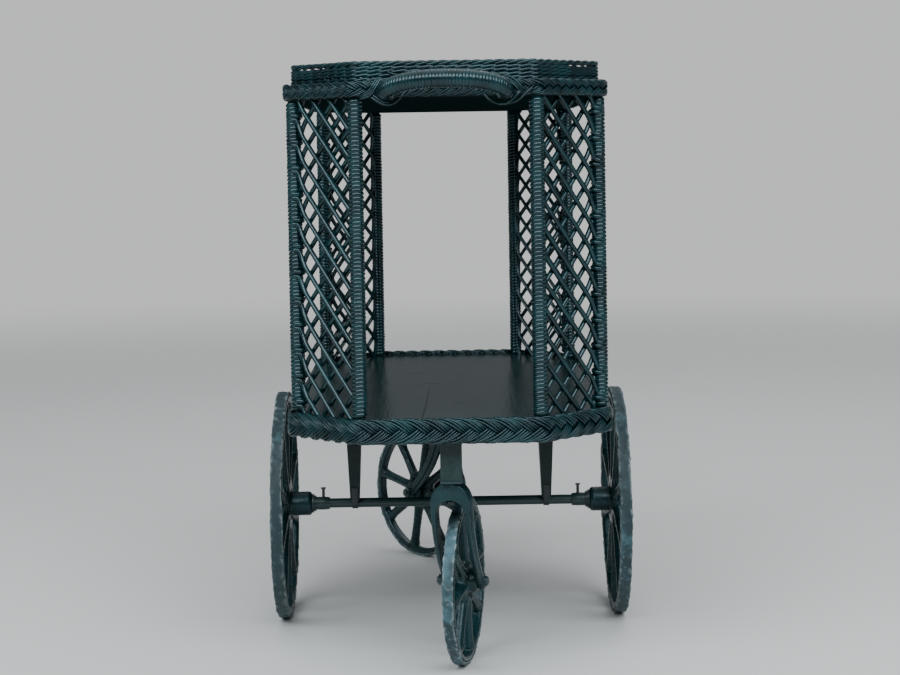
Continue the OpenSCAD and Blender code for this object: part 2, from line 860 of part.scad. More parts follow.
module wheel_nut(end) {
    nut_h = wheel_bolt_d * 0.7;
    color(iron_green)
        at_caster(end)
            translate([-bolt_seat - nut_h, caster_trail, caster_wheel_r])
                rotate([0, 90, 0])
                    difference() {
                        cylinder(d = wheel_bolt_d * 1.85, h = nut_h, $fn = 6);
                        translate([0, 0, -1])
                            cylinder(d = wheel_bolt_d + 2 * run_gap, h = nut_h + 2);
                    }
}

module caster_wheel(end) {
    color(iron_green)
        at_caster_wheel(end)
            wheel_casting(
                caster_wheel_r - tyre_t - seat_gap, caster_rim_depth, caster_tyre_w - 1, caster_spokes,
                caster_spoke_w, caster_hub_d, caster_hub_half, caster_hub_half, bush_bore(wheel_bolt_d)
            );
}

module caster_tyre(end) {
    color(rubber_grey) at_caster_wheel(end) tyre(caster_wheel_r, caster_tyre_w);
}

module caster_bush(end) {
    color(iron_green) at_caster_wheel(end) bush(wheel_bolt_d, caster_hub_half, caster_hub_half);
}

end_batten_half = end_half - batten_short;
middle_batten_half = leg_x - leg_top_w / 2 - seat_gap;

top_board();
top_braid();
gallery_weave();
gallery_rim();
handle();
post(-end_half, -end_y);  // post_front_left_inner
post(-side_half, -side_y);  // post_front_left_outer
post(end_half, -end_y);  // post_front_right_inner
post(side_half, -side_y);  // post_front_right_outer
post(-end_half, end_y);  // post_rear_left_inner
post(-side_half, side_y);  // post_rear_left_outer
post(end_half, end_y);  // post_rear_right_inner
post(side_half, side_y);  // post_rear_right_outer
binding(left, front);  // binding_front_left
binding(right, front);  // binding_front_right
binding(left, rear);  // binding_rear_left
binding(right, rear);  // binding_rear_right
lattice(left, front);  // lattice_front_left
lattice(right, front);  // lattice_front_right
lattice(left, rear);  // lattice_rear_left
lattice(right, rear);  // lattice_rear_right
shelf_board(left);  // shelf_board_left
shelf_board(right);  // shelf_board_right
shelf_braid();
batten(-caster_y, end_batten_half);  // front_batten
batten(0, middle_batten_half);  // middle_batten
batten(caster_y, end_batten_half);  // rear_batten
axle();
leg(left);  // left_leg
leg(right);  // right_leg
leg_straps();
axle_collars();
collar_bolts();
axle_washers();
cotter_pins();
side_wheel(left);  // left_wheel
side_tyre(left);  // left_tyre
side_bush(left);  // left_bush
side_wheel(right);  // right_wheel
side_tyre(right);  // right_tyre
side_bush(right);  // right_bush
block(front);  // front_block
swivel_plate(front);  // front_swivel_plate
fork(front);  // front_fork
wheel_bolt(front);  // front_bolt
wheel_nut(front);  // front_nut
caster_wheel(front);  // front_wheel
caster_tyre(front);  // front_tyre
caster_bush(front);  // front_bush
block(rear);  // rear_block
swivel_plate(rear);  // rear_swivel_plate
fork(rear);  // rear_fork
wheel_bolt(rear);  // rear_bolt
wheel_nut(rear);  // rear_nut
caster_wheel(rear);  // rear_wheel
caster_tyre(rear);  // rear_tyre
caster_bush(rear);  // rear_bush
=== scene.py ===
"""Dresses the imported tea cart: plaited edges, woven gallery, bound posts, lattices, castings and paint."""

from __future__ import annotations

import json
import logging
import math
from dataclasses import dataclass, field
from enum import Enum
from typing import Any, Protocol, Sequence

import bpy
import numpy as np
from mathutils import Matrix, Vector

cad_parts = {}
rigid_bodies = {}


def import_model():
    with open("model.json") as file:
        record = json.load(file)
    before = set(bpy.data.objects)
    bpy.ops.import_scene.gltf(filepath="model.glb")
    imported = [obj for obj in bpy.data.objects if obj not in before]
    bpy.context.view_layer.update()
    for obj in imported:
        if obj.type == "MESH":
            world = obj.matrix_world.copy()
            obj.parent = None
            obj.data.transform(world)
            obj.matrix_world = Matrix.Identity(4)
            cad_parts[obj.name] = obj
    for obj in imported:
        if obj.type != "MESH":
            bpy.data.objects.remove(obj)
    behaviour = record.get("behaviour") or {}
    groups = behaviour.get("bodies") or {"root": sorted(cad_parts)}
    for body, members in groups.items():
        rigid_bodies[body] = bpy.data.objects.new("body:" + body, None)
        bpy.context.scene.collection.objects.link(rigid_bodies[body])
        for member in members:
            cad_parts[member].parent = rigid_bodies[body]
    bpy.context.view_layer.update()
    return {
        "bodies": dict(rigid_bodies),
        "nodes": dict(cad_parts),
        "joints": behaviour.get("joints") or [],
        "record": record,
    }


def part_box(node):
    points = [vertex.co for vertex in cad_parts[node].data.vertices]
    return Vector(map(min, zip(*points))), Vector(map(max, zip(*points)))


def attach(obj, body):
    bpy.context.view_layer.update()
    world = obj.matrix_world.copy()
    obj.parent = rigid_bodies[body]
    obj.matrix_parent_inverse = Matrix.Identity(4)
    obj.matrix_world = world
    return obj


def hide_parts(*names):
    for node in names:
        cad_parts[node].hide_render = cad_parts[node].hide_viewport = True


LOG = logging.getLogger("tea_cart")
MM = 0.001
TAU = 2 * math.pi

Colour = tuple[float, float, float]
Spot = tuple[float, float, float]


class Body(Enum):
    """The moving bodies of the cart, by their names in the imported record."""

    CART = "cart"
    LEFT_WHEEL = "left_side_wheel"
    RIGHT_WHEEL = "right_side_wheel"
    FRONT_FORK = "front_caster"
    FRONT_WHEEL = "front_caster_wheel"
    REAR_FORK = "rear_caster"
    REAR_WHEEL = "rear_caster_wheel"


class Slot(Enum):
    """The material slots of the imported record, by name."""

    REED = "painted_reed"
    CASTING = "painted_casting"
    RUBBER = "tyre_rubber"


# ---------------------------------------------------------------- shader sums


class Wire:
    """One output of a node, with the sums a finish needs written as Python operators."""

    def __init__(self, bench: Bench, socket: bpy.types.NodeSocket) -> None:
        """Keeps the socket and the bench it belongs to."""
        self.bench = bench
        self.socket = socket

    def _sum(self, operation: str, first: Any, second: Any) -> Wire:
        """A Math node's result for two values or links."""
        return self.bench.add("ShaderNodeMath", {"operation": operation}, {0: first, 1: second})

    def __add__(self, other: Any) -> Wire:
        """This plus other."""
        return self._sum("ADD", self, other)

    def __radd__(self, other: Any) -> Wire:
        """Other plus this."""
        return self._sum("ADD", other, self)

    def __sub__(self, other: Any) -> Wire:
        """This less other."""
        return self._sum("SUBTRACT", self, other)

    def __rsub__(self, other: Any) -> Wire:
        """Other less this."""
        return self._sum("SUBTRACT", other, self)

    def __mul__(self, other: Any) -> Wire:
        """This times other."""
        return self._sum("MULTIPLY", self, other)

    def __rmul__(self, other: Any) -> Wire:
        """Other times this."""
        return self._sum("MULTIPLY", other, self)

    def highest(self, other: Any) -> Wire:
        """The greater of this and other."""
        return self._sum("MAXIMUM", self, other)

    def size(self) -> Wire:
        """This without its sign."""
        return self._sum("ABSOLUTE", self, 0.0)

    def part(self, axis: str) -> Wire:
        """One axis of a vector, named X, Y or Z."""
        return self.bench.add("ShaderNodeSeparateXYZ", {}, {"Vector": self}, axis)

    def ramp(self, low: float, high: float) -> Wire:
        """Nothing below low, one above high, and a smooth rise between.

        Args:
            low: Where the rise starts.
            high: Where it ends.

        Returns:
            The value between nothing and one.
        """
        return self.bench.add(
            "ShaderNodeMapRange",
            {"interpolation_type": "SMOOTHSTEP", "clamp": True},
            {"Value": self, "From Min": low, "From Max": high},
        )


class Bench:
    """A node tree while it is made."""

    def __init__(self, tree: bpy.types.NodeTree) -> None:
        """Takes a tree and clears it."""
        self.tree = tree
        self.tree.nodes.clear()

    def add(
        self,
        kind: str,
        settings: dict[str, Any] | None = None,
        sockets: dict[int | str, Any] | None = None,
        out: int | str = 0,
    ) -> Wire:
        """Adds any node.

        Args:
            kind: The node's type.
            settings: Its settings, set before its sockets.
            sockets: A value or a Wire for each input, by name or number.
            out: The output that is handed back.

        Returns:
            The chosen output.
        """
        node = self.tree.nodes.new(kind)
        for key, value in (settings or {}).items():
            setattr(node, key, value)
        for key, value in (sockets or {}).items():
            self.feed(node.inputs[key], value)
        return Wire(self, node.outputs[out])

    def feed(self, socket: bpy.types.NodeSocket, value: Any) -> None:
        """Sets or links one input.

        Args:
            socket: The input.
            value: A value that it is set to, or a Wire that is linked to it.
        """
        if isinstance(value, Wire):
            self.tree.links.new(value.socket, socket)
        else:
            socket.default_value = value


class PaintBench(Bench):
    """The node tree of one finish, with the patterns that the finishes share."""

    def __init__(self, name: str) -> None:
        """Starts an empty material with its surface shader.

        Args:
            name: The material's name.
        """
        self.material = bpy.data.materials.new(name)
        self.material.use_nodes = True
        super().__init__(self.material.node_tree)
        self.out = self.tree.nodes.new("ShaderNodeOutputMaterial")
        self.surface = self.tree.nodes.new("ShaderNodeBsdfPrincipled")
        self.feed(self.out.inputs["Surface"], Wire(self, self.surface.outputs[0]))

    def spot(self) -> Wire:
        """The place on the piece, in metres."""
        return self.add("ShaderNodeTexCoord", out="Object")

    def edges(self) -> Wire:
        """A half on flat faces and more on edges that stand out."""
        return self.add("ShaderNodeNewGeometry", out="Pointiness")

    def noise(
        self, scale: float, detail: float = 3.0, rough: float = 0.55, finer: Spot = (1.0, 1.0, 1.0)
    ) -> Wire:
        """Cloudy noise between nothing and one.

        Args:
            scale: Clouds in a metre.
            detail: Octaves of finer clouds.
            rough: How strong the finer clouds are.
            finer: How many times more clouds there are along each axis.

        Returns:
            The noise's value.
        """
        where = self.add("ShaderNodeMapping", {}, {"Vector": self.spot(), "Scale": finer})
        sockets = {"Vector": where, "Scale": scale, "Detail": detail, "Roughness": rough}
        return self.add("ShaderNodeTexNoise", {}, sockets)

    def mix(self, share: Any, first: Colour | Wire, second: Colour | Wire) -> Wire:
        """A blend of two colours, with so large a share of the second."""
        a, b = ((*colour, 1.0) if isinstance(colour, tuple) else colour for colour in (first, second))
        return self.add("ShaderNodeMix", {"data_type": "RGBA"}, {"Factor": share, 6: a, 7: b}, out=2)

    def bump(self, height: Wire, depth: float) -> Wire:
        """A bump for the surface's Normal, where a height of one stands for so many metres."""
        return self.add("ShaderNodeBump", {}, {"Strength": 1.0, "Distance": depth, "Height": height})

    def cover(self, share: Wire, shader: Wire) -> None:
        """Lays another shader over the surface.

        Args:
            share: How much of the other shader there is.
            shader: The other shader.
        """
        surface = Wire(self, self.surface.outputs[0])
        both = self.add("ShaderNodeMixShader", {}, {0: share, 1: surface, 2: shader})
        self.feed(self.out.inputs["Surface"], both)

    def finish(self, **sockets: Any) -> bpy.types.Material:
        """Feeds the surface shader.

        Args:
            **sockets: A value or a Wire for each input, with underscores for spaces in its name.

        Returns:
            The material.
        """
        for key, value in sockets.items():
            self.feed(self.surface.inputs[key.replace("_", " ")], value)
        return self.material


# ---------------------------------------------------------------- finishes


class Finish(Protocol):
    """What every finish has: a name and a way to mix it."""

    @property
    def name(self) -> str:
        """The material's name."""

    def make(self) -> bpy.types.Material:
        """Mixes the finish and hands back its material."""


# painted reflection: the blue of a daylit sky, painted into the gloss's reflections so that the lamps can
# stay neutral
PAINTED_SKY_REFLECTION_TINT = (0.74, 0.93, 1.0, 1.0)


@dataclass(frozen=True)
class ReedPaint:
    """Old green gloss paint over round reed, rubbed through in spots."""

    name: str = "reed_paint"
    deep: Colour = (0.0014, 0.0100, 0.0120)
    light: Colour = (0.0034, 0.0270, 0.0310)
    rubbed: Colour = (0.048, 0.046, 0.040)
    gloss: float = 0.20
    worn: float = 0.74
    relief: float = 0.28 * MM

    def make(self) -> bpy.types.Material:
        """Mixes the paint.

        Returns:
            The material.
        """
        bench = PaintBench(self.name)
        patches = bench.noise(28.0, 4.0)
        fibres = bench.noise(900.0, 2.0)
        runs = bench.noise(260.0, 2.0)
        spots = bench.noise(75.0, 5.0, 0.7) * 0.8 + fibres * 0.2
        wear = spots.ramp(self.worn - 0.06, self.worn + 0.04)
        colour = bench.mix(patches.ramp(0.35, 0.68), self.deep, self.light)
        return bench.finish(
            Base_Color=bench.mix(wear * 0.75, colour, self.rubbed),
            Roughness=fibres * 0.12 + patches * 0.10 + wear * 0.2 + (self.gloss - 0.10),
            Normal=bench.bump(runs * 0.8 + fibres * 0.2, self.relief),
            Specular_IOR_Level=0.46,
            # painted reflection: the gloss gives back sky blue under neutral lamps
            Specular_Tint=PAINTED_SKY_REFLECTION_TINT,
        )


@dataclass(frozen=True)
class BoardPaint:
    """Green gloss paint on a planed board, with its grain standing through and painted shade on its
    underside, where downward faces turn a dark, dull diffuse without reflections.
    """

    name: str
    gloss: float
    shine: float
    deep: Colour = (0.0035, 0.0130, 0.0130)
    light: Colour = (0.0080, 0.0230, 0.0220)
    gap: Colour = (0.002, 0.004, 0.004)
    # painted shade: the dark, dull colour that downward faces take instead of the gloss
    underside: Colour = (0.006, 0.014, 0.014)
    crack_at: tuple[float, float] | None = None
    relief: float = 1.0 * MM

    def crack(self, bench: PaintBench, x: float, y: float) -> Wire:
        """The bowed seam between the boards and the short split across its end.

        Args:
            bench: The bench that the paint is mixed on.
            x: Where the seam meets the split, across the cart.
            y: The same along the cart.

        Returns:
            One in the seam and the split, nothing beside them.
        """
        across, along = bench.spot().part("X"), bench.spot().part("Y")
        waver = bench.noise(14.0, 3.0) * 0.010 - 0.005
        back = along - y
        bow = back * back * 0.057 + waver * 0.35
        seam = 1.0 - (across + bow - x).size().ramp(0.3 * MM, 0.9 * MM)
        seam = seam * (1.0 - along.ramp(y - 0.10, y - 0.01)) * 0.8
        split = 1.0 - (along + waver * 0.3 - y).size().ramp(1.2 * MM, 3.0 * MM)
        split = split * (1.0 - (across - x - 4 * MM).size().ramp(6 * MM, 13 * MM))
        return seam.highest(split)

    def make(self) -> bpy.types.Material:
        """Mixes the paint.

        Returns:
            The material.
        """
        bench = PaintBench(self.name)
        grain = bench.noise(9.0, 6.0, 0.65, (14.0, 1.0, 14.0))
        rings = bench.noise(2.2, 3.0, 0.5, (9.0, 0.8, 9.0))
        dust = bench.noise(420.0, 2.0)
        scuff = bench.noise(16.0, 6.0, 0.72).ramp(0.56, 0.74)
        colour = bench.mix((grain * 0.6 + rings * 0.4).ramp(0.35, 0.7), self.deep, self.light)
        height = grain * 0.5 + rings * 0.3 + dust * 0.05
        if self.crack_at:
            crack = self.crack(bench, *self.crack_at)
            colour = bench.mix(crack, colour, self.gap)
            height = height - crack * 2.5
        # painted shade: faces that look down lose their gloss and turn a dark, dull diffuse, as if in shadow
        downwards = 0.0 - bench.add("ShaderNodeNewGeometry", out="Normal").part("Z")
        painted_shade_under = bench.add("ShaderNodeBsdfDiffuse", {}, {"Color": (*self.underside, 1.0)})
        bench.cover(downwards.ramp(0.2, 0.8), painted_shade_under)
        return bench.finish(
            Base_Color=colour,
            Roughness=scuff * 0.12 + grain * 0.10 + self.gloss,
            Normal=bench.bump(height, self.relief),
            Specular_IOR_Level=self.shine,
        )


@dataclass(frozen=True)
class CastingPaint:
    """Paint on a rough iron casting, thin and brown where it is rubbed."""

    name: str = "casting_paint"
    deep: Colour = (0.0020, 0.0135, 0.0155)
    light: Colour = (0.0058, 0.0290, 0.0325)
    bare: Colour = (0.052, 0.050, 0.046)
    gloss: float = 0.28
    relief: float = 0.6 * MM

    def make(self) -> bpy.types.Material:
        """Mixes the paint.

        Returns:
            The material.
        """
        bench = PaintBench(self.name)
        skin = bench.noise(150.0, 5.0, 0.6)
        sand = bench.noise(1100.0, 2.0)
        patches = bench.noise(22.0, 4.0)
        rubbed_edges = bench.edges().ramp(0.52, 0.60) * bench.noise(60.0, 4.0, 0.65).ramp(0.42, 0.66)
        rubbed_faces = bench.noise(38.0, 6.0, 0.75).ramp(0.66, 0.74) * 0.6
        rub = rubbed_edges.highest(rubbed_faces)
        colour = bench.mix(patches.ramp(0.3, 0.7), self.deep, self.light)
        return bench.finish(
            Base_Color=bench.mix(rub * 0.5, colour, self.bare),
            Roughness=skin * 0.16 + rub * 0.22 + (self.gloss - 0.08),
            Normal=bench.bump(skin * 0.75 + sand * 0.25, self.relief),
            Specular_IOR_Level=0.38,
            # painted reflection: the gloss gives back sky blue under neutral lamps
            Specular_Tint=PAINTED_SKY_REFLECTION_TINT,
        )


@dataclass(frozen=True)
class SteelPaint:
    """Paint on bright steel fittings, worn to dull metal and rust."""

    name: str = "steel_paint"
    paint: Colour = (0.0085, 0.0300, 0.0320)
    metal: Colour = (0.060, 0.072, 0.070)
    rust: Colour = (0.045, 0.026, 0.018)
    bareness: float = 0.0
    relief: float = 0.4 * MM

    def make(self) -> bpy.types.Material:
        """Mixes the paint.

        Returns:
            The material.
        """
        bench = PaintBench(self.name)
        wear = bench.noise(190.0, 6.0, 0.7)
        bared = (wear + self.bareness * 0.12).ramp(0.60, 0.70)
        steel = bench.mix(bench.noise(70.0, 4.0).ramp(0.45, 0.6), self.metal, self.rust)
        return bench.finish(
            Base_Color=bench.mix(bared, self.paint, steel),
            Metallic=bared * 0.55,
            Roughness=wear * 0.25 + 0.24,
            Normal=bench.bump(wear, self.relief),
        )


@dataclass(frozen=True)
class TyreRubber:
    """Old painted rubber, rubbed pale and dusty on the tread and chipped at its edges."""

    name: str
    dust: float
    deep: Colour = (0.0065, 0.0270, 0.0320)
    dusty: Colour = (0.056, 0.132, 0.165)
    chip: Colour = (0.24, 0.29, 0.30)
    relief: float = 0.9 * MM

    def make(self) -> bpy.types.Material:
        """Mixes the rubber.

        Returns:
            The material.
        """
        bench = PaintBench(self.name)
        patches = bench.noise(34.0, 6.0, 0.68)
        grit = bench.noise(620.0, 4.0, 0.7)
        scars = bench.noise(140.0, 6.0, 0.8)
        rubbed = patches * 0.6 + grit * 0.25 + scars * 0.15
        dusty = rubbed.ramp(0.62 - self.dust * 0.3, 0.74 - self.dust * 0.2)
        chipped_edges = bench.edges().ramp(0.508, 0.548) * scars.ramp(0.40, 0.56)
        chipped = scars.ramp(0.61, 0.70).highest(chipped_edges)
        colour = bench.mix(dusty * 0.85, self.deep, self.dusty)
        return bench.finish(
            Base_Color=bench.mix(chipped * 0.85, colour, self.chip),
            Roughness=grit * 0.15 + dusty * 0.12 + 0.50,
            Normal=bench.bump(scars * 0.5 + grit * 0.5, self.relief),
        )


# ---------------------------------------------------------------- benchwork


def only(*pieces: bpy.types.Object) -> None:
    """Selects these pieces and nothing else.

    Args:
        *pieces: The pieces, the active one first.
    """
    bpy.ops.object.select_all(action="DESELECT")
    for piece in pieces:
        piece.select_set(True)
    bpy.context.view_layer.objects.active = pieces[0]


def apply_all(piece: bpy.types.Object) -> None:
    """Applies every modifier of a piece.

    Args:
        piece: The piece.
    """
    only(piece)
    for modifier in list(piece.modifiers):
        bpy.ops.object.modifier_apply(modifier=modifier.name)


def settle(piece: bpy.types.Object) -> None:
    """Puts a piece's place into its mesh, so that its object sits at the origin."""
    only(piece)
    bpy.ops.object.transform_apply(location=True, rotation=True, scale=True)


def name_active(name: str) -> bpy.types.Object:
    """Names the piece that was just made, and its mesh.

    Args:
        name: The name.

    Returns:
        The piece.
    """
    piece = bpy.context.view_layer.objects.active
    piece.name = name
    piece.data.name = name
    return piece


def join(name: str, *parts: bpy.types.Object) -> bpy.types.Object:
    """Joins parts into one piece.

    Args:
        name: The piece's name.
        *parts: What is joined, all of it used up.

    Returns:
        The piece.
    """
    only(*parts)
    bpy.ops.object.join()
    return name_active(name)


def clouds(name: str, size: float, contrast: float = 1.0) -> bpy.types.Texture:
    """Clouds for a modifier that moves a surface.

    Args:
        name: The texture's name.
        size: How large a cloud is.
        contrast: How sharply the clouds end.

    Returns:
        The texture.
    """
    texture = bpy.data.textures.new(name, "CLOUDS")
    texture.noise_scale = size
    texture.noise_depth = 2
    texture.contrast = contrast
    return texture


def middle_of(node: str) -> np.ndarray:
    """The middle of a CAD node as seen from above."""
    low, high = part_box(node)
    return np.array([(low.x + high.x) / 2, (low.y + high.y) / 2])


@dataclass
class Outfit:
    """What every sub-assembly needs while it is built: the frame, and each finish made once."""

    frame: dict[str, Any]
    mixed: dict[str, bpy.types.Material] = field(default_factory=dict)

    def paint(self, piece: bpy.types.Object, finish: Finish) -> None:
        """Gives a piece one finish all over.

        Args:
            piece: The piece.
            finish: Its finish, mixed when it is first wanted.
        """
        if finish.name not in self.mixed:
            self.mixed[finish.name] = finish.make()
        piece.data.materials.clear()
        piece.data.materials.append(self.mixed[finish.name])

    def joint(self, name: str) -> dict[str, Any]:
        """The frame's row of one joint."""
        return next(joint for joint in self.frame["joints"] if joint["name"] == name)

    def fit(
        self,
        piece: bpy.types.Object,
        body: Body,
        finish: Finish,
        node: str,
        smooth: float | None = None,
    ) -> None:
        """Paints a piece, shades it and seats it on its body.

        Args:
            piece: The piece, in its place.
            body: The body it rides on.
            finish: Its finish.
            node: The CAD node that it stands for.
            smooth: The angle in degrees up to which faces shade smoothly, or None for all of them.
        """
        settle(piece)
        if smooth is None:
            bpy.ops.object.shade_smooth()
        else:
            bpy.ops.object.shade_smooth_by_angle(angle=math.radians(smooth))
        self.paint(piece, finish)
        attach(piece, body.value)
        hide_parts(node)
        LOG.info("%s on %s: %d faces", piece.name, body.value, len(piece.data.polygons))

    def fit_reeds(self, piece: bpy.types.Object, node: str) -> None:
        """Paints reedwork and seats it on the cart, in a CAD node's stead."""
        self.fit(piece, Body.CART, ReedPaint(), node)

    def dress(self, finish: Finish, *nodes: str) -> None:
        """Gives CAD nodes whose shape is right a better finish.

        Args:
            finish: The finish.
            *nodes: The nodes' names.
        """
        for name in nodes:
            self.paint(self.frame["nodes"][name], finish)
            LOG.info("%s keeps its shape and is painted with %s", name, finish.name)


def draw_reeds(
    name: str,
    lines: Sequence[np.ndarray],
    diameter: float,
    closed: bool = False,
    sides: int = 6,
    swell: Sequence[np.ndarray] | None = None,
) -> bpy.types.Object:
    """Draws round reeds along lines, as a curve, since no operator lays a reed that bends in three ways.

    Args:
        name: The piece's name.
        lines: The middle line of each reed, in metres.
        diameter: The reeds' diameter.
        closed: Whether each reed closes on itself.
        sides: Sides of the reed's section: 4, 6 or 8.
        swell: How thick each reed is along its line, as shares of the diameter.

    Returns:
        The reeds as one mesh.
    """
    bpy.ops.object.select_all(action="DESELECT")
    bpy.ops.curve.primitive_nurbs_path_add(location=(0, 0, 0))
    piece = bpy.context.view_layer.objects.active
    curve = piece.data
    curve.splines.clear()
    curve.dimensions = "3D"
    curve.bevel_depth = diameter / 2
    curve.bevel_resolution = (sides - 4) // 2
    curve.use_fill_caps = not closed
    for index, line in enumerate(lines):
        spline = curve.splines.new("POLY")
        spline.points.add(len(line) - 1)
        spline.points.foreach_set("co", np.c_[line, np.ones(len(line))].astype(np.float32).ravel())
        if swell is not None:
            spline.points.foreach_set("radius", swell[index].astype(np.float32))
        spline.use_cyclic_u = closed
    only(piece)
    bpy.ops.object.convert(target="MESH")
    return name_active(name)


# ---------------------------------------------------------------- lines


def ease(share: np.ndarray) -> np.ndarray:
    """A share between nothing and one that starts and ends gently."""
    return share * share * (3 - 2 * share)


def unit(angle: float) -> np.ndarray:
    """The direction at an angle, seen from above."""
    return np.array([math.cos(angle), math.sin(angle)])


def bezier(p0: np.ndarray, p1: np.ndarray, p2: np.ndarray, p3: np.ndarray, steps: int) -> np.ndarray:
    """Points of a curve from p0 to p3 that starts towards p1 and arrives from p2, without its first point."""
    t = np.linspace(0, 1, steps + 1)[1:, None]
    return (1 - t) ** 3 * p0 + 3 * t * (1 - t) ** 2 * p1 + 3 * t * t * (1 - t) * p2 + t**3 * p3


def smooth_line(points: np.ndarray, steps: int) -> np.ndarray:
    """A smooth line through points.

    Args:
        points: The points, one row each.
        steps: Points of the line from one to the next.

    Returns:
        The line's points.
    """
    ends = np.vstack([2 * points[0] - points[1], points, 2 * points[-1] - points[-2]])
    t = np.linspace(0, 1, steps, endpoint=False)[:, None]
    runs = []
    for a, b, c, d in zip(ends, ends[1:], ends[2:], ends[3:]):
        slope, bend, twist = c - a, 2 * a - 5 * b + 4 * c - d, 3 * b - a - 3 * c + d
        runs.append(0.5 * (2 * b + slope * t + bend * t**2 + twist * t**3))
    return np.vstack([*runs, points[-1:]])


def wander(count: int, span: float, seed: int, closed: bool = True) -> np.ndarray:
    """A slow unevenness of the hand, between minus one and one.

    Args:
        count: How many points it has.
        span: Points from one turn of the hand to the next.
        seed: Which hand it is.
        closed: Whether the end meets the start.

    Returns:
        The unevenness at each point.
    """
    rng = np.random.default_rng(seed)
    values = rng.uniform(-1, 1, max(4, int(count / span)))
    values = np.r_[values, values[0] if closed else rng.uniform(-1, 1)]
    at = np.linspace(0, len(values) - 1, count, endpoint=not closed)
    low = np.minimum(at.astype(int), len(values) - 2)
    share = ease(at - low)
    return values[low] * (1 - share) + values[low + 1] * share


def uneven(by: float, count: int, span: float, seed: int, closed: bool = True) -> np.ndarray:
    """A share that wanders about one, by so much at most."""
    return 1 + by * wander(count, span, seed, closed)


@dataclass
class Stretch:
    """One stretch of an edge line, straight or bent."""

    start: float
    point: np.ndarray
    way: float
    bent: bool


@dataclass
class Edge:
    """The eight-cornered line of the body, at a distance outside the line of the posts."""

    posts: np.ndarray
    out: float
    bend: float = 8 * MM
    length: float = field(init=False, default=0.0)
    stretches: list[Stretch] = field(init=False, default_factory=list)

    def __post_init__(self) -> None:
        """Works out the bent and straight stretches, post by post."""
        radius = self.bend + self.out
        runs = np.roll(self.posts, -1, axis=0) - self.posts
        ways = [math.atan2(y, x) for x, y in runs]
        turns = [(way - ways[i - 1] + math.pi) % TAU - math.pi for i, way in enumerate(ways)]
        for i, (post, way, turn) in enumerate(zip(self.posts, ways, turns)):
            face = ways[i - 1] - math.pi / 2
            centre = post - self.bend / math.cos(turn / 2) * unit(face + turn / 2)
            self.stretches.append(Stretch(self.length, centre, face, True))
            self.length += radius * turn
            self.stretches.append(Stretch(self.length, centre + radius * unit(way - math.pi / 2), way, False))
            tangents = math.tan(turn / 2) + math.tan(turns[(i + 1) % len(turns)] / 2)
            self.length += float(np.linalg.norm(runs[i])) - self.bend * tangents

    def even(self, count: int) -> np.ndarray:
        """So many even distances along the line."""
        return np.arange(count) * self.length / count

    def at(self, s: np.ndarray) -> tuple[np.ndarray, np.ndarray]:
        """Places along the line.

        Args:
            s: Distances along it, in metres.

        Returns:
            The places and the directions outwards, one row each.
        """
        s = s % self.length
        place, face = np.zeros((len(s), 2)), np.zeros((len(s), 2))
        ends = [stretch.start for stretch in self.stretches[1:]] + [self.length + 1]
        for stretch, end in zip(self.stretches, ends):
            mine = (s >= stretch.start - 1e-12) & (s < end)
            run = s[mine] - stretch.start
            if stretch.bent:
                angle = stretch.way + run / (self.bend + self.out)
                face[mine] = np.c_[np.cos(angle), np.sin(angle)]
                place[mine] = stretch.point + (self.bend + self.out) * face[mine]
            else:
                ahead = unit(stretch.way)
                face[mine] = ahead[1], -ahead[0]
                place[mine] = stretch.point + run[:, None] * ahead
        return place, face

    def lay(self, s: np.ndarray, out: np.ndarray | float, z: np.ndarray | float) -> np.ndarray:
        """Points along the line, each some way further out and at a height.

        Args:
            s: Distances along the line.
            out: How far each lies outside it.
            z: Their heights.

        Returns:
            The points, one row each.
        """
        place, face = self.at(s)
        out, z = np.broadcast_to(out, len(s)), np.broadcast_to(z, len(s))
        return np.c_[place + face * out[:, None], z]


@dataclass
class Plan:
    """The cart's plan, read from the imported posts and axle."""

    posts: np.ndarray
    middle: float

    @classmethod
    def read(cls) -> Plan:
        """Reads the plan from the CAD nodes.

        Returns:
            The plan.
        """
        order = (
            "front_right_outer", "rear_right_outer", "rear_right_inner", "rear_left_inner",
            "rear_left_outer", "front_left_outer", "front_left_inner", "front_right_inner",
        )
        posts = np.array([middle_of(f"post_{post}") for post in order])
        return cls(posts, float(middle_of("axle")[1]))


# ---------------------------------------------------------------- reedwork

# where a reed's points lie along half a wave of a plait, closest where it turns and where it dives
HALF_WAVE = np.array([
    0.000, 0.020, 0.045, 0.075, 0.110, 0.150, 0.185, 0.210, 0.230,
    0.250, 0.270, 0.290, 0.315, 0.350, 0.390, 0.425, 0.455, 0.480,
])


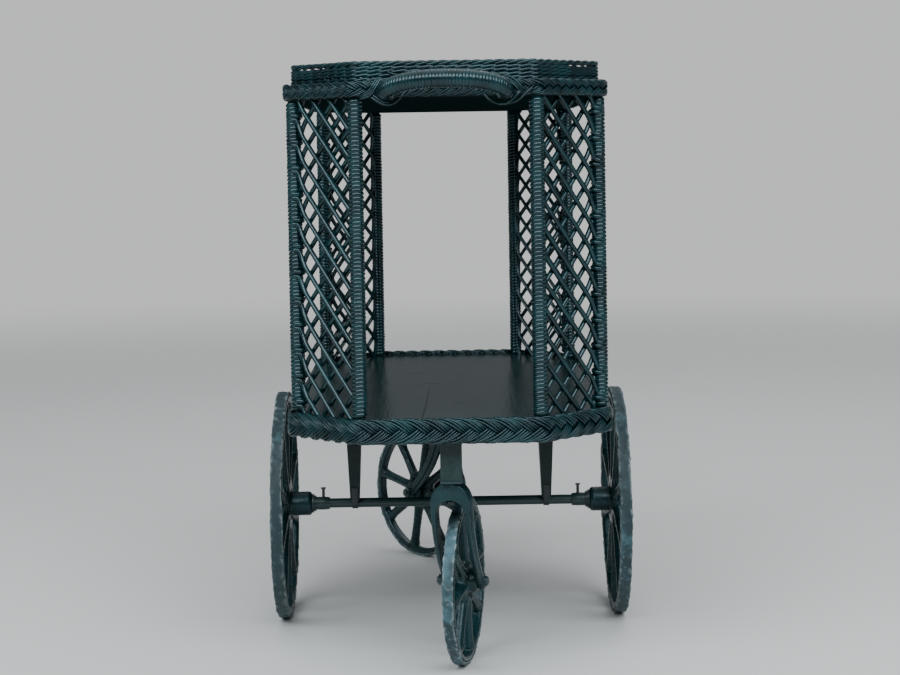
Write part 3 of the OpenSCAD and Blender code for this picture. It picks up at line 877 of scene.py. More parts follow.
@dataclass
class Plait:
    """A flat plait of five strands of side-by-side reeds, laid round the edge of a board.

    Each reed runs straight from edge to edge, turns over the edge, lies on top as far as the middle and then
    dives under, so that the strands meet in a row of arrowheads.
    """

    name: str
    node: str
    pitch: float
    reeds: int
    reed_d: float
    rise: float
    crown: float
    seed: int
    lower: float = 0.0
    upper: float = 0.0
    lift: float = 0.0
    cords: int = 0
    cord_d: float = 5.2 * MM
    strands: int = 5
    close: float = 0.92
    scallop: float = 0.13
    snap: float = 2.4
    lag: float = 0.15
    slip: float = 1.2 * MM
    margin: float = 0.25 * MM

    def edge(self, posts: np.ndarray, depth: float) -> Edge:
        """The line round the cart at a depth under the outer side of the plait's edges."""
        return Edge(posts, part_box(self.node)[1].x - posts[0][0] - self.crown - depth)

    def height(self, phase: np.ndarray, dive: float) -> np.ndarray:
        """How high a reed lies over the plait's middle layer.

        Args:
            phase: Where it is from one upper edge to the next, between nothing and one.
            dive: Where in a half of its wave it goes under.

        Returns:
            Its height as a share of the rise.
        """
        half = (phase * 2) % 1.0
        turn = np.where(half < 2 * dive, half / (4 * dive), 0.5 + (half - 2 * dive) / (2 - 4 * dive))
        return np.tanh(self.snap * np.sin(TAU * turn + self.lag)) / math.tanh(self.snap)

    def lines(self, posts: np.ndarray) -> list[np.ndarray]:
        """The reeds' middle lines.

        Args:
            posts: The posts' places in order round the cart.

        Returns:
            One closed line for each reed.
        """
        low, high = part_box(self.node)
        bottom, top = low.z - self.lower, high.z + self.upper
        edge = self.edge(posts, self.rise + self.reed_d / 2)
        waves = round(edge.length / (self.strands * self.pitch))
        wave = edge.length / waves
        phase = np.concatenate([number + np.r_[HALF_WAVE, HALF_WAVE + 0.5] for number in range(waves)])
        count = len(phase)
        reach = (top - bottom - self.reed_d) / 2 - self.margin
        lines = []
        for strand in range(self.strands):
            slip = wander(count, 60, self.seed + strand) * self.slip
            for reed in range(self.reeds):
                shift = (reed - (self.reeds - 1) / 2) * wave / self.strands / self.reeds * self.close
                shake = wander(count, 14, self.seed * 7 + strand * 11 + reed)
                s = phase * wave + shift + strand * wave / self.strands + slip
                nest = 1.01 - self.scallop * (2 * reed / (self.reeds - 1) - 1) ** 2
                up = reach * np.cos(TAU * phase) * nest * (1 + 0.035 * shake[::-1])
                up = np.clip(up, -reach, reach)
                over = self.rise * self.height(phase % 1.0, 0.25 - shift / (2 * wave))
                bulge = self.crown * (1 - (2 * up / (top - bottom)) ** 2)
                back = np.clip(edge.at(s)[0][:, 1] / posts[2][1], 0, 1)
                level = (bottom + top) / 2 + self.lift * ease(back)
                lines.append(edge.lay(s, over + bulge + shake * 0.14 * self.reed_d, level + up))
        return lines

    def padding(self, posts: np.ndarray) -> bpy.types.Object:
        """The cords under the board's edge that fill the plait where it hangs below the board.

        Args:
            posts: The posts' places in order round the cart.

        Returns:
            The cords.
        """
        edge = self.edge(posts, 2 * self.rise + self.reed_d + self.cord_d / 3)
        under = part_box("shelf_board_left")[0].z - self.cord_d / 2
        s = edge.even(360)
        lines = [edge.lay(s, 0.0, under - row * 0.8 * self.cord_d) for row in range(self.cords)]
        return draw_reeds("padding", lines, self.cord_d, closed=True)

    def build(self, kit: Outfit, plan: Plan) -> None:
        """Lays the plait round the cart.

        Args:
            kit: What it is dressed with.
            plan: The cart's plan.
        """
        piece = draw_reeds(self.name, self.lines(plan.posts), self.reed_d, closed=True)
        if self.cords:
            piece = join(self.name, piece, self.padding(plan.posts))
        kit.fit_reeds(piece, self.node)


@dataclass
class Gallery:
    """The low woven wall round the tray: pairs of weavers twisted round stakes, and a rope border above."""

    rows: int = 6
    row_pitch: float = 4.55 * MM
    weaver_d: float = 4.8 * MM
    twist_out: float = 1.2 * MM
    twist_up: float = 0.85 * MM
    dip: float = 2.0 * MM
    stake_d: float = 3.6 * MM
    stake_pitch: float = 15 * MM
    rope_reed_d: float = 3.8 * MM
    rope_radius: float = 1.75 * MM
    rope_lay: float = 40 * MM
    rope_sink: float = 3.2 * MM
    rope_reeds: int = 3
    lean: float = 1.5 * MM
    inset: float = -1 * MM

    def stakes(self, edge: Edge) -> int:
        """How many stakes stand round the tray, as an even number."""
        return 2 * round(edge.length / self.stake_pitch / 2)

    def weave(self, kit: Outfit, plan: Plan) -> None:
        """Weaves the rows of paired weavers.

        Args:
            kit: What they are dressed with.
            plan: The cart's plan.
        """
        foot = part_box("gallery_weave")[0].z + self.weaver_d / 2 + 0.4 * MM
        edge = Edge(plan.posts, self.inset)
        stakes = self.stakes(edge)
        count = stakes * 6
        s = edge.even(count)
        along = np.abs(edge.at(s)[0][:, 1] - plan.middle)
        ends = np.abs(plan.posts[:3, 1])
        sides = np.interp(along, [ends.min() - 10 * MM, ends.mean(), ends.max()], [0, 1, 0])
        lines, swell = [], []
        for row in range(self.rows):
            slow = wander(count, 60, 90 + row)
            sag = self.dip * sides * (row / (self.rows - 1)) ** 3
            for weaver in range(2):
                phase = TAU * s / edge.length * (stakes / 2) + math.pi * weaver
                shake = wander(count, 9, 40 + row * 2 + weaver)
                z = foot + self.row_pitch * row - sag
                z = z + self.twist_up * np.sin(phase) + 0.2 * MM * shake + 0.25 * MM * slow
                lines.append(edge.lay(s, self.twist_out * np.cos(phase), z))
                swell.append(uneven(0.06, count, 30, 7 + row * 5 + weaver))
        piece = draw_reeds("gallery_weavers", lines, self.weaver_d, closed=True, swell=swell)
        kit.fit_reeds(piece, "gallery_weave")

    def border(self, kit: Outfit, plan: Plan) -> None:
        """Lays the rope border and the stakes' upper ends that turn down into it.

        Args:
            kit: What they are dressed with.
            plan: The cart's plan.
        """
        weave_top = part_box("gallery_weave")[1].z
        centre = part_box("gallery_rim")[1].z - self.rope_sink
        edge = Edge(plan.posts, self.inset)
        turns = round(edge.length / self.rope_lay)
        count = turns * 16
        s = edge.even(count)
        lines = []
        for strand in range(self.rope_reeds):
            phase = TAU * (turns * s / edge.length + strand / self.rope_reeds)
            radius = self.rope_radius * uneven(0.10, count, 12, 130 + strand)
            lines.append(edge.lay(s, radius * np.cos(phase), centre + radius * np.sin(phase)))
        rope = draw_reeds("gallery_border", lines, self.rope_reed_d, closed=True)
        stakes = self.stakes(edge)
        lean = wander(stakes, 2, 5) * self.lean
        stubs = []
        for stake in range(stakes):
            at = (stake + 0.5) * edge.length / stakes + np.linspace(0, lean[stake], 5)
            stubs.append(edge.lay(at, 0.0, np.linspace(weave_top - 5 * MM, centre, 5)))
        piece = join("gallery_border", rope, draw_reeds("stakes", stubs, self.stake_d))
        kit.fit_reeds(piece, "gallery_rim")


@dataclass
class PostBinding:
    """Reed bound round the two posts of one corner, from the shelf to the tray."""

    end: str
    side: str
    seed: int
    bound_r: float = 9.5 * MM
    reed_d: float = 8.6 * MM
    pitch: float = 4.8 * MM
    per_turn: int = 18

    def turns(self, post: str, number: int) -> tuple[np.ndarray, np.ndarray]:
        """The reed round one post.

        Args:
            post: The post's node.
            number: Which of the corner's posts it is.

        Returns:
            Its middle line, and how thick it is along it.
        """
        low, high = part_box(post)
        x, y = middle_of(post)
        radius = self.bound_r - self.reed_d / 2
        bottom, top = low.z + self.pitch / 2, high.z - self.pitch / 2
        turns = round((top - bottom) / self.pitch)
        count = turns * self.per_turn + 1
        angle = np.linspace(0, TAU * turns, count) + self.seed
        slip = wander(count, self.per_turn * 1.7, self.seed * 3 + number, closed=False)
        tilt = wander(count, self.per_turn * 9, self.seed * 5 + number, closed=False)
        swell = uneven(0.05, count, self.per_turn * 1.3, self.seed * 9 + number, closed=False)
        z = np.linspace(bottom, top, count)
        fade = np.clip(np.minimum(z - bottom, top - z) / (4 * MM), 0, 1)
        z = z + fade * (0.35 * MM * slip + 0.5 * MM * tilt * np.cos(angle))
        return np.c_[x + radius * np.cos(angle), y + radius * np.sin(angle), z], swell

    def build(self, kit: Outfit) -> None:
        """Binds both posts of the corner.

        Args:
            kit: What they are dressed with.
        """
        corner = f"{self.end}_{self.side}"
        bound = [self.turns(f"post_{corner}_{place}", n) for n, place in enumerate(("inner", "outer"))]
        lines, swell = zip(*bound)
        piece = draw_reeds(f"binding_{corner}_reed", lines, self.reed_d, swell=swell)
        kit.fit_reeds(piece, f"binding_{corner}")


@dataclass
class Lattice:
    """Reeds that zigzag between the two posts of a corner and loop round the outer one."""

    end: str
    side: str
    seed: int
    reed_d: float = 6.0 * MM
    pitch: float = 32.0 * MM
    rise: float = 121.0 * MM
    drop: float = 7.0 * MM
    layer: float = 2.6 * MM
    near: float = 22 * MM
    far: float = 11 * MM
    bury: float = 3 * MM
    reeds: int = 8

    def run(self, strand: int, width: float, front: bool) -> np.ndarray:
        """A strand's straight run from its upper end to its lower one.

        Args:
            strand: Which strand it is.
            width: Distance between the posts' middles.
            front: Whether it lies in the front layer, which falls towards the inner post.

        Returns:
            Points along it as across, outwards and up.
        """
        across = np.array([self.near, width - self.far] if front else [width - self.far, self.near])
        share = 1 - across / width if front else across / width
        upper, lower = np.c_[across, [self.layer if front else -self.layer] * 2, share * self.rise]
        straight = upper + (lower - upper) * np.linspace(0, 1, 14)[:, None]
        return straight + [0, 0, (strand + 0.5) * self.pitch]

    def loop(self, level: float) -> np.ndarray:
        """A reed's way round the outer post, one turn and two thirds.

        Args:
            level: The height at which it comes to the post.

        Returns:
            Points along it as across, outwards and up.
        """
        centre, radius, depth, count = 2.1 * MM, 8.4 * MM, 6.7 * MM, 36
        sweep = np.radians(np.linspace(-35, -685, count))
        fall = np.linspace(level + 1 * MM, level - self.drop - 1 * MM, count)
        return np.c_[centre + radius * np.cos(sweep), depth * np.sin(sweep), fall]

    def zigzag(self, width: float, top: float, start: int) -> np.ndarray:
        """One reed from the top of the panel to its foot.

        Args:
            width: Distance between the posts' middles.
            top: Height of the panel.
            start: Which strand it starts on.

        Returns:
            Points along the reed as across, outwards and up.
        """
        tilt = math.atan2(self.rise, width)
        slope = np.array([math.cos(tilt), 0, math.sin(tilt)]) * MM
        to_outer, to_inner = slope * [-1, 1, -1], slope * [1, 1, -1]
        enter, leave = np.array([-2.0, -3.0, -5.5]) * MM, np.array([2.0, -3.0, -5.5]) * MM
        points: list[np.ndarray] = []
        for strand in range(start, math.floor(-self.rise / self.pitch - 0.5), -self.reeds):
            back = self.run(strand, width, False)
            loop = self.loop((strand + 0.5) * self.pitch)
            front = self.run(strand - self.reeds // 2, width, True)
            again = self.run(strand - self.reeds, width, False)
            points += [
                back,
                bezier(back[-1], back[-1] + 7 * to_outer, loop[0] - enter, loop[0], 7),
                loop[1:],
                bezier(loop[-1], loop[-1] + leave, front[0] - 7 * to_inner, front[0], 7),
                front[1:],
                bezier(front[-1], front[-1] + 6 * to_inner, again[0] + 6 * slope, again[0], 9)[:-1],
            ]
        line = np.concatenate(points)
        foot, head = -self.bury, top + self.bury
        first, last = np.flatnonzero((line[:, 2] > foot) & (line[:, 2] < head))[[0, -1]]
        kept = [line[first : last + 1]]
        if first > 0:
            kept.insert(0, self.meet(line[first], line[first - 1], head))
        if last + 1 < len(line):
            kept.append(self.meet(line[last], line[last + 1], foot))
        return np.concatenate(kept)

    @staticmethod
    def meet(here: np.ndarray, there: np.ndarray, level: float) -> np.ndarray:
        """The point between two points of a reed where it reaches a level, as one row."""
        return (here + (there - here) * (level - here[2]) / (there[2] - here[2]))[None]

    def build(self, kit: Outfit) -> None:
        """Weaves the panel of one corner.

        Args:
            kit: What it is dressed with.
        """
        corner = f"{self.end}_{self.side}"
        low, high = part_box(f"post_{corner}_outer")
        outer, inner = middle_of(f"post_{corner}_outer"), middle_of(f"post_{corner}_inner")
        width = float(np.linalg.norm(inner - outer))
        across = (inner - outer) / width
        out = np.array([across[1], -across[0]])
        # at two corners, the layers lie the other way round
        if (out @ (outer + inner) < 0) != ((self.end == "front") == (self.side == "right")):
            out = -out
        lines, swell = [], []
        for reed in range(self.reeds):
            flat = self.zigzag(width, high.z - low.z, 2 * self.reeds + reed)
            count = len(flat)
            shake = wander(count, 9, self.seed * 17 + reed, closed=False)
            flat = flat + np.c_[shake * 0.5, shake[::-1] * 0.25, shake * 0.6] * MM
            lines.append(np.c_[outer + flat[:, :1] * across + flat[:, 1:2] * out, low.z + flat[:, 2]])
            swell.append(uneven(0.05, count, 20, self.seed * 19 + reed, closed=False))
        piece = draw_reeds(f"lattice_{corner}_reeds", lines, self.reed_d, sides=8, swell=swell)
        kit.fit_reeds(piece, f"lattice_{corner}")


# the reed on top of the handle where it leaves the gallery and where it comes down into the plait, in
# millimetres: from the cart's middle, behind the front of the gallery or the braid, and over the floor
TOP_REED_START = ((-68, 0, 736.5), (-60, -2, 733.5), (-54, -6, 733.0))
TOP_REED_END = (
    (55, -8, 731.5), (66, -1, 728), (74, 0.5, 725.5), (81, 0, 721.5), (87, 0.5, 716.5), (93, 3.5, 711),
)

# the single reeds that tie the handle's ends, in millimetres: from the cart's middle, behind the front of
# the braid, and over the floor
TIE_REEDS = (
    (
        (-90, 2.5, 708), (-85, -0.8, 704.5), (-80, -2, 701), (-74, -3, 698),
        (-68, -3.4, 697), (-61, -3, 699), (-54, -1.5, 705), (-48, 2.5, 712),
    ),
    ((-88, 2.5, 711), (-82.5, -1, 706.5), (-77.5, -2.2, 703), (-72, -3, 700.5), (-67, -2.5, 699.8)),
    (
        (55, 3, 734), (64, 0.5, 731.5), (72, -0.8, 730.5), (79, -1.2, 727),
        (84, -1.2, 722.5), (89, -0.8, 717.5), (96, 2.5, 712),
    ),
    ((70, 3, 724), (76, -0.6, 722), (81, -1, 718.5), (86, 0, 713.5), (90, 3, 709)),
    (
        (46, 4.5, 708.5), (50, 1.4, 703.4), (56, -1.6, 699), (63, -3, 696.4), (70, -3.2, 696),
        (75, -2.6, 698.2), (80, -1.8, 702), (86, -1.4, 708), (90, 2, 713),
    ),
    ((72, 0, 698.5), (77.5, -1.2, 701.2), (82, -1.6, 705.5), (86, -1, 710.5), (88, 2.5, 714)),
    (
        (76, 2, 697), (80, -0.4, 698), (86, -1.8, 700.8), (91, -2.1, 704.6),
        (96, -1.8, 709.4), (101, -0.6, 714), (104, 2.5, 717),
    ),
)


@dataclass
class Handle:
    """The bow handle: a bent rod bound with reed, one reed along its top and the reeds that tie its ends."""

    half: float = 70 * MM
    reach: float = 45 * MM
    rise: float = 14.5 * MM
    diameter: float = 22 * MM
    reed_d: float = 6.6 * MM
    pitch: float = 3.7 * MM
    per_turn: int = 22
    square: float = 2.2
    tie_d: float = 2.7 * MM

    def middle_line(self, turn: np.ndarray) -> tuple[np.ndarray, np.ndarray, np.ndarray]:
        """The bow's middle line.

        Args:
            turn: Angles along the bow from its middle, in radians.

        Returns:
            The places, the directions out of the ring and the direction square to its plane.
        """
        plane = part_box("top_braid")[0].y - 0.2 * MM
        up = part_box("top_board")[0].z + 5 * MM
        lean = math.atan2(self.rise, self.reach)
        depth = math.hypot(self.rise, self.reach)
        power = 2 / self.square
        x = self.half * np.sign(np.sin(turn)) * np.abs(np.sin(turn)) ** power
        y = -depth * np.sign(np.cos(turn)) * np.abs(np.cos(turn)) ** power
        place = np.c_[x, plane + y * math.cos(lean), up - y * math.sin(lean)]
        out_x = np.sign(x) * (np.abs(x) / self.half) ** (self.square - 1) / self.half
        out_y = np.sign(-y) * (np.abs(y) / depth) ** (self.square - 1) / depth
        size = np.hypot(out_x, out_y)
        out_x, out_y = out_x / size, out_y / size
        outward = np.c_[out_x, -out_y * math.cos(lean), out_y * math.sin(lean)]
        return place, outward, np.tile([0, math.sin(lean), math.cos(lean)], (len(turn), 1))

    def binding(self, middle: np.ndarray, turn: np.ndarray) -> np.ndarray:
        """The one reed that binds the rod.

        Args:
            middle: Points of the bow's middle line.
            turn: Their angles along the bow.

        Returns:
            Its middle line.
        """
        run = np.r_[0, np.cumsum(np.linalg.norm(np.diff(middle, axis=0), axis=1))]
        turns = round(run[-1] / self.pitch)
        count = turns * self.per_turn + 1
        place, outward, square = self.middle_line(np.interp(np.linspace(0, run[-1], count), run, turn))
        angle = np.linspace(0, TAU * turns, count)[:, None]
        slack = 0.08 * MM * wander(count, 40, 3, closed=False)
        radius = (self.diameter / 2 - self.reed_d / 2 + slack)[:, None]
        return place + radius * (np.cos(angle) * outward + np.sin(angle) * square)

    def top_reed(self) -> np.ndarray:
        """The single reed that leaves the gallery, runs along the bow and comes down into the plait.

        Returns:
            Its middle line.
        """
        place, outward, square = self.middle_line(np.linspace(-0.80, 0.80, 40))
        along = place + square * (self.diameter / 2 + 0.9 * MM) - outward * 2.5 * MM
        start = np.array(TOP_REED_START) * MM + [0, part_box("gallery_weave")[0].y, 0]
        end = np.array(TOP_REED_END) * MM + [0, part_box("top_braid")[0].y - 1.6 * MM, 0]
        return smooth_line(np.concatenate([start, along[4:-4:4], end]), 8)

    def ties(self) -> list[np.ndarray]:
        """The reeds of the plait that part round the ends of the bow, with a fan of three at its left.

        Returns:
            Their middle lines.
        """
        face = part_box("top_braid")[0].y - 1.2 * MM
        fan = [
            (
                (-101 + 0.2 * o, 3, 705 + 0.7 * o), (-96 - 0.1 * o, 0, 705.5 + o),
                (-90 - 0.45 * o, -0.6, 708 + 0.9 * o), (-85 - 0.75 * o, -1.0, 713 + 0.65 * o),
                (-81.5 - 0.9 * o, -1.0, 719 + 0.4 * o), (-77 - o, 2.5, 727),
            )
            for o in (0.0, 2.5, 5.0)
        ]
        return [smooth_line(np.array(points) * MM + [0, face, 0], 6) for points in (*fan, *TIE_REEDS)]

    def build(self, kit: Outfit) -> None:
        """Binds the bow and ties its ends.

        Args:
            kit: What it is dressed with.
        """
        turn = np.linspace(-math.pi / 2, math.pi / 2, 801)[1:-1]
        middle, _, _ = self.middle_line(turn)
        wrap = draw_reeds("handle_wrap", [self.binding(middle, turn)], self.reed_d)
        rod = draw_reeds("handle_rod", [middle[::20]], self.diameter - 6 * MM, sides=8)
        tied = draw_reeds("handle_ties", [self.top_reed(), *self.ties()], self.tie_d, sides=8)
        kit.fit_reeds(join("handle_bow", wrap, rod, tied), "handle")


# ---------------------------------------------------------------- castings and tyres


@dataclass(frozen=True)
class WheelSize:
    """One size of wheel."""

    radius: float
    width: float
    hub: float
    rim: float
    fuller: float
    voxel: float
    rubber: TyreRubber


SIDE_WHEEL = WheelSize(
    radius=156 * MM, width=17 * MM, hub=20 * MM, rim=142 * MM, fuller=4 * MM, voxel=1.2 * MM,
    rubber=TyreRubber("side_tyre_rubber", dust=0.40),
)
CASTER_WHEEL = WheelSize(
    radius=104 * MM, width=15 * MM, hub=18 * MM, rim=92 * MM, fuller=6 * MM, voxel=1.0 * MM,
    rubber=TyreRubber("caster_tyre_rubber", dust=0.62),
)


@dataclass
class Casting:
    """A CAD casting's copy with the soft edges and skin of sand-cast iron."""

    node: str
    body: Body
    voxel: float
    soften: int = 6
    wheel: WheelSize | None = None

    def swell_spokes(self, kit: Outfit, piece: bpy.types.Object, wheel: WheelSize) -> None:
        """Makes the spokes fuller, most where they fan out at the hub and the rim.

        Args:
            kit: The outfit, for the wheel's joint.
            piece: The casting.
            wheel: Its size.
        """
        joint = kit.joint(f"{self.node}_spin")
        axis = np.array(joint["axis"])
        at = np.empty(len(piece.data.vertices) * 3)
        piece.data.vertices.foreach_get("co", at)
        at = at.reshape(-1, 3) - np.array(joint["pos_m"])
        far = np.linalg.norm(at - np.outer(at @ axis, axis), axis=1)
        past_hub, to_rim = far - wheel.hub, wheel.rim - far
        fade, hub_fan, rim_fan = 3 * MM, 9 * MM, 8 * MM
        inside = np.clip(past_hub / fade, 0, 1) * np.clip(to_rim / fade, 0, 1)
        more = 0.30 + 0.70 * np.exp(-past_hub / hub_fan) + 0.35 * np.exp(-to_rim / rim_fan)
        share = np.round(np.clip(inside * more, 0, 1), 2)
        group = piece.vertex_groups.new(name="spokes")
        for value in np.unique(share[share > 0]):
            group.add(np.flatnonzero(share == value).tolist(), float(value), "REPLACE")
        fuller = piece.modifiers.new("fuller", "DISPLACE")
        fuller.vertex_group = "spokes"
        fuller.strength = wheel.fuller
        fuller.mid_level = 0.0

    def build(self, kit: Outfit) -> None:
        """Merges a copy of the node, rounds its edges and paints it.

        Args:
            kit: What it is dressed with.
        """
        bpy.ops.object.select_all(action="DESELECT")
        piece = bpy.data.objects.new(f"{self.node}_cast", kit.frame["nodes"][self.node].data.copy())
        piece.data.name = piece.name
        bpy.context.scene.collection.objects.link(piece)
        only(piece)
        bpy.ops.object.mode_set(mode="EDIT")
        bpy.ops.mesh.select_all(action="SELECT")
        bpy.ops.mesh.remove_doubles(threshold=0.01 * MM)
        bpy.ops.object.mode_set(mode="OBJECT")
        skin = piece.modifiers.new("skin", "REMESH")
        skin.mode = "VOXEL"
        skin.voxel_size = self.voxel
        if self.wheel:
            apply_all(piece)
            self.swell_spokes(kit, piece, self.wheel)
        soft = piece.modifiers.new("soft", "SMOOTH")
        soft.factor = 0.5
        soft.iterations = self.soften
        sand = piece.modifiers.new("sand", "DISPLACE")
        sand.texture = clouds(f"{self.node}_sand", 14 * MM)
        sand.texture_coords = "LOCAL"
        sand.strength = 0.8 * MM
        sand.mid_level = 0.40
        apply_all(piece)
        kit.fit(piece, self.body, CastingPaint(), self.node)


class Way(Enum):
    """The ways in which wear moves a tyre's surface before the tyre is turned to its axle."""

    SIDEWAYS = "X"
    OUTWARDS = "NORMAL"


@dataclass(frozen=True)
class Wear:
    """One kind of wear on a tyre."""

    name: str
    size: float
    depth: float
    way: Way
    level: float
    contrast: float

    def add(self, piece: bpy.types.Object, node: str) -> None:
        """Adds the wear to a tyre.

        Args:
            piece: The tyre.
            node: The CAD tyre it stands for.
        """
        wear = piece.modifiers.new(self.name, "DISPLACE")
        wear.texture = clouds(f"{node}_{self.name}", self.size, self.contrast)
        wear.texture_coords = "LOCAL"
        wear.direction = self.way.value
        wear.strength = self.depth
        wear.mid_level = self.level


@dataclass
class Tyre:
    """A rubber tyre with a worn, uneven tread and chipped edges."""

    node: str
    body: Body
    spin: str
    wheel: WheelSize
    thick: float = 4.5 * MM
    round_off: float = 1.5 * MM
    steps: int = 220
    wears: tuple[Wear, ...] = (
        Wear("sway", 85 * MM, 2.4 * MM, Way.SIDEWAYS, 0.5, 1.0),
        Wear("rub", 24 * MM, 0.8 * MM, Way.OUTWARDS, 0.62, 1.3),
        Wear("chips", 7 * MM, 1.1 * MM, Way.OUTWARDS, 0.98, 3.0),
    )

    def section(self) -> bpy.types.Object:
        """The tyre's section above the wheel's middle, rounded and with points along its longer sides.

        Returns:
            The section, in edit mode.
        """
        bpy.ops.object.select_all(action="DESELECT")
        up = self.wheel.radius - self.thick / 2
        bpy.ops.mesh.primitive_plane_add(size=1, location=(0, 0, up), rotation=(math.pi / 2, 0, 0))
        piece = name_active(f"{self.node}_rubber")
        piece.scale = (self.wheel.width, self.thick, 1)
        settle(piece)
        bpy.ops.object.mode_set(mode="EDIT")
        bpy.ops.mesh.select_all(action="SELECT")
        bpy.ops.mesh.bevel(offset=self.round_off, segments=3, affect="VERTICES")
        bpy.ops.mesh.select_all(action="SELECT")
        bpy.ops.mesh.delete(type="ONLY_FACE")
        bpy.ops.mesh.select_all(action="DESELECT")
        bpy.ops.object.mode_set(mode="OBJECT")
        for edge in piece.data.edges:
            a, b = (piece.data.vertices[v].co for v in edge.vertices)
            edge.select = (a - b).length > 5 * MM
        bpy.ops.object.mode_set(mode="EDIT")
        bpy.ops.mesh.select_mode(type="EDGE")
        bpy.ops.mesh.subdivide(number_cuts=4)
        bpy.ops.mesh.select_mode(type="VERT")
        return piece

    def build(self, kit: Outfit) -> None:
        """Turns the tyre's section round the wheel, wears it and seats it on the rim.

        Args:
            kit: What it is dressed with.
        """
        piece = self.section()
        bpy.ops.mesh.select_all(action="SELECT")
        bpy.ops.mesh.spin(steps=self.steps, angle=TAU, center=(0, 0, 0), axis=(1, 0, 0))
        bpy.ops.mesh.select_all(action="SELECT")
        bpy.ops.mesh.remove_doubles(threshold=0.05 * MM)
        bpy.ops.mesh.normals_make_consistent(inside=False)
        bpy.ops.object.mode_set(mode="OBJECT")
        for wear in self.wears:
            wear.add(piece, self.node)
        apply_all(piece)
        axis = kit.joint(self.spin)["axis"]
        low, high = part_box(self.node)
        piece.rotation_euler = (0, 0, math.atan2(axis[1], axis[0]))
        piece.location = (low + high) / 2
        kit.fit(piece, self.body, self.wheel.rubber, self.node, smooth=50.0)


# ---------------------------------------------------------------- studio


@dataclass(frozen=True)
class Lamp:
    """One soft lamp."""

    name: str
    at: Spot
    to: Spot
    size: tuple[float, float]
    watts: float
    tint: Colour = (1.0, 1.0, 1.0)

    def hang(self) -> None:
        """Hangs the lamp and turns it to what it lights."""
        data = bpy.data.lights.new(self.name, "AREA")
        data.shape = "RECTANGLE"
        data.size, data.size_y = self.size
        data.energy = self.watts
        data.color = self.tint
        lamp = bpy.data.objects.new(self.name, data)
        lamp.location = self.at
        lamp.rotation_euler = (Vector(self.to) - Vector(self.at)).to_track_quat("-Z", "Y").to_euler()
        bpy.context.scene.collection.objects.link(lamp)


@dataclass
class Studio:
    """A pale floor and backdrop, soft lamps and the camera at the photograph's place."""

    camera_at: Spot = (-0.0085, -2.6804, 0.6329)
    pitch: float = 2.384
    pan: float = 0.283
    roll: float = -0.9
    lens: float = 77.0
    shift: float = -0.11
    backdrop: float = 0.85
    fill: float = 0.14
    floor_tones: tuple[Colour, Colour] = ((0.62, 0.62, 0.615), (0.66, 0.66, 0.655))
    lamps: tuple[Lamp, ...] = (
        Lamp("window", (-0.2, -3.2, 3.1), (0, 0, 0.5), (11.0, 2.0), 490.0, (0.90, 0.97, 1.0)),
        Lamp("ceiling", (0, 0.4, 3.2), (0, 0.1, 0), (5.0, 5.0), 70.0),
        Lamp("back", (1.8, 3.2, 2.6), (0, 0, 0.5), (3.6, 2.0), 22.0),
    )

    def camera(self) -> None:
        """Sets the camera."""
        data = bpy.data.cameras.new("camera")
        data.lens = self.lens
        data.sensor_width = 36.0
        data.sensor_fit = "HORIZONTAL"
        data.shift_y = self.shift
        data.clip_start = 0.05
        camera = bpy.data.objects.new("camera", data)
        bpy.context.scene.collection.objects.link(camera)
        camera.matrix_world = (
            Matrix.Translation(self.camera_at)
            @ Matrix.Rotation(math.radians(-self.pan), 4, "Z")
            @ Matrix.Rotation(math.radians(90 - self.pitch), 4, "X")
            @ Matrix.Rotation(math.radians(self.roll), 4, "Z")
        )
        bpy.context.scene.camera = camera

    def floor(self) -> None:
        """Lays a pale floor that fades out far away and is clear from below."""
        bpy.ops.object.select_all(action="DESELECT")
        bpy.ops.mesh.primitive_plane_add(size=1, location=(0, 0, 0))
        floor = bpy.context.view_layer.objects.active
        floor.name = "floor"
        floor.scale = (16, 16, 1)
        settle(floor)
        bench = PaintBench("pale_floor")
        bench.finish(Base_Color=bench.mix(bench.noise(1.2, 3.0), *self.floor_tones), Roughness=0.6)
        reach = bench.add("ShaderNodeVectorMath", {"operation": "LENGTH"}, {0: bench.spot()}, "Value")
        below = bench.add("ShaderNodeNewGeometry", out="Backfacing")
        bench.cover(reach.ramp(1.6, 6.5).highest(below), bench.add("ShaderNodeBsdfTransparent"))
        floor.data.materials.append(bench.material)

    def surroundings(self) -> None:
        """Makes a backdrop that the camera sees and a fainter, colder light that falls on the cart."""
        world = bpy.context.scene.world or bpy.data.worlds.new("world")
        bpy.context.scene.world = world
        world.use_nodes = True
        bench = Bench(world.node_tree)
        sky = "ShaderNodeBackground"
        seen = bench.add(sky, {}, {"Color": (0.80, 0.81, 0.81, 1), "Strength": self.backdrop})
        lit = bench.add(sky, {}, {"Color": (0.86, 0.93, 1.0, 1), "Strength": self.fill})
        ray = bench.add("ShaderNodeLightPath", out="Is Camera Ray")
        both = bench.add("ShaderNodeMixShader", {}, {0: ray, 1: lit, 2: seen})
        bench.feed(bench.tree.nodes.new("ShaderNodeOutputWorld").inputs["Surface"], both)

    def build(self) -> None:
        """Sets up the whole studio."""
        self.floor()
        self.surroundings()
        self.camera()
        for lamp in self.lamps:
            lamp.hang()


# ---------------------------------------------------------------- the cart


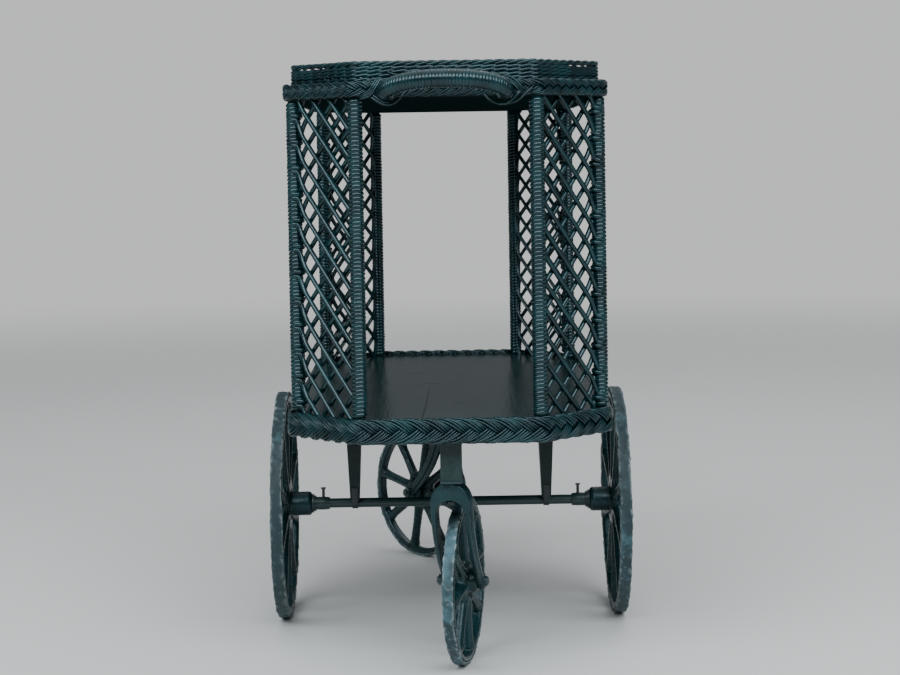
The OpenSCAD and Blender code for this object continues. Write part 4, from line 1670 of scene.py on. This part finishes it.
@dataclass
class TeaCart:
    """The whole cart, sub-assembly by sub-assembly."""

    kit: Outfit
    plan: Plan

    def tray(self) -> None:
        """The tray's board, plait, gallery and handle."""
        self.kit.dress(BoardPaint("tray_paint", gloss=0.36, shine=0.3), "top_board")
        Plait(
            "tray_plait", "top_braid", pitch=15.2 * MM, reeds=3, reed_d=2.3 * MM, rise=2.2 * MM,
            crown=2.1 * MM, seed=3,
        ).build(self.kit, self.plan)
        gallery = Gallery()
        gallery.border(self.kit, self.plan)
        gallery.weave(self.kit, self.plan)
        Handle().build(self.kit)

    def sides(self) -> None:
        """The bound posts and the lattices between them."""
        corners = [(end, side) for end in ("front", "rear") for side in ("left", "right")]
        for seed, (end, side) in enumerate(corners, start=1):
            PostBinding(end, side, seed).build(self.kit)
            Lattice(end, side, seed).build(self.kit)
            self.kit.dress(ReedPaint(), f"post_{end}_{side}_inner", f"post_{end}_{side}_outer")

    def shelf(self) -> None:
        """The shelf's boards, battens and plait."""
        boards = BoardPaint("shelf_paint", gloss=0.10, shine=0.6, crack_at=(-0.027, -0.036))
        self.kit.dress(boards, "shelf_board_left", "shelf_board_right")
        battens = BoardPaint("batten_paint", gloss=0.32, shine=0.3)
        self.kit.dress(battens, "front_batten", "middle_batten", "rear_batten")
        Plait(
            "shelf_plait", "shelf_braid", pitch=20.8 * MM, reeds=4, reed_d=2.7 * MM, rise=2.4 * MM,
            crown=2.0 * MM, seed=11, lower=1.8 * MM, upper=1.7 * MM, lift=5.0 * MM, cords=2,
        ).build(self.kit, self.plan)

    def axle(self) -> None:
        """The axle, its legs and its fittings."""
        self.kit.dress(BoardPaint("leg_paint", gloss=0.34, shine=0.25), "left_leg", "right_leg")
        bolts = SteelPaint("bolt_paint", paint=(0.012, 0.020, 0.020), rust=(0.10, 0.035, 0.018), bareness=0.2)
        self.kit.dress(bolts, "collar_bolts")
        self.kit.dress(SteelPaint("strap_paint", paint=(0.0035, 0.0140, 0.0145)), "leg_straps")
        self.kit.dress(SteelPaint(), "axle", "axle_collars", "axle_washers", "cotter_pins")

    def wheels(self) -> None:
        """The side wheels and the casters."""
        # painted light: the blocks take a lighter green than the legs' same paint, as where light falls on
        # them
        blocks = BoardPaint("block_paint", gloss=0.34, shine=0.4, light=(0.010, 0.032, 0.032))
        self.kit.dress(blocks, "front_block", "rear_block")
        for end in ("front", "rear"):
            self.kit.dress(SteelPaint(), f"{end}_bolt", f"{end}_nut", f"{end}_swivel_plate")
        wheels = (
            ("left", Body.LEFT_WHEEL, SIDE_WHEEL),
            ("right", Body.RIGHT_WHEEL, SIDE_WHEEL),
            ("front", Body.FRONT_WHEEL, CASTER_WHEEL),
            ("rear", Body.REAR_WHEEL, CASTER_WHEEL),
        )
        for place, body, size in wheels:
            self.kit.dress(SteelPaint(), f"{place}_bush")
            Tyre(f"{place}_tyre", body, f"{place}_wheel_spin", size).build(self.kit)
        for place, body, size in wheels:
            Casting(f"{place}_wheel", body, size.voxel, wheel=size).build(self.kit)
        Casting("front_fork", Body.FRONT_FORK, 0.8 * MM).build(self.kit)
        Casting("rear_fork", Body.REAR_FORK, 0.8 * MM).build(self.kit)

    def build(self) -> None:
        """Builds and dresses everything."""
        self.tray()
        self.sides()
        self.shelf()
        self.axle()
        self.wheels()


def main() -> None:
    """Loads the frame, sets the studio and builds the cart."""
    logging.basicConfig(level=logging.INFO, format="%(name)s: %(message)s")
    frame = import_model()
    bpy.ops.object.select_all(action="DESELECT")
    Studio().build()
    TeaCart(Outfit(frame), Plan.read()).build()


if __name__ == "__main__":
    main()
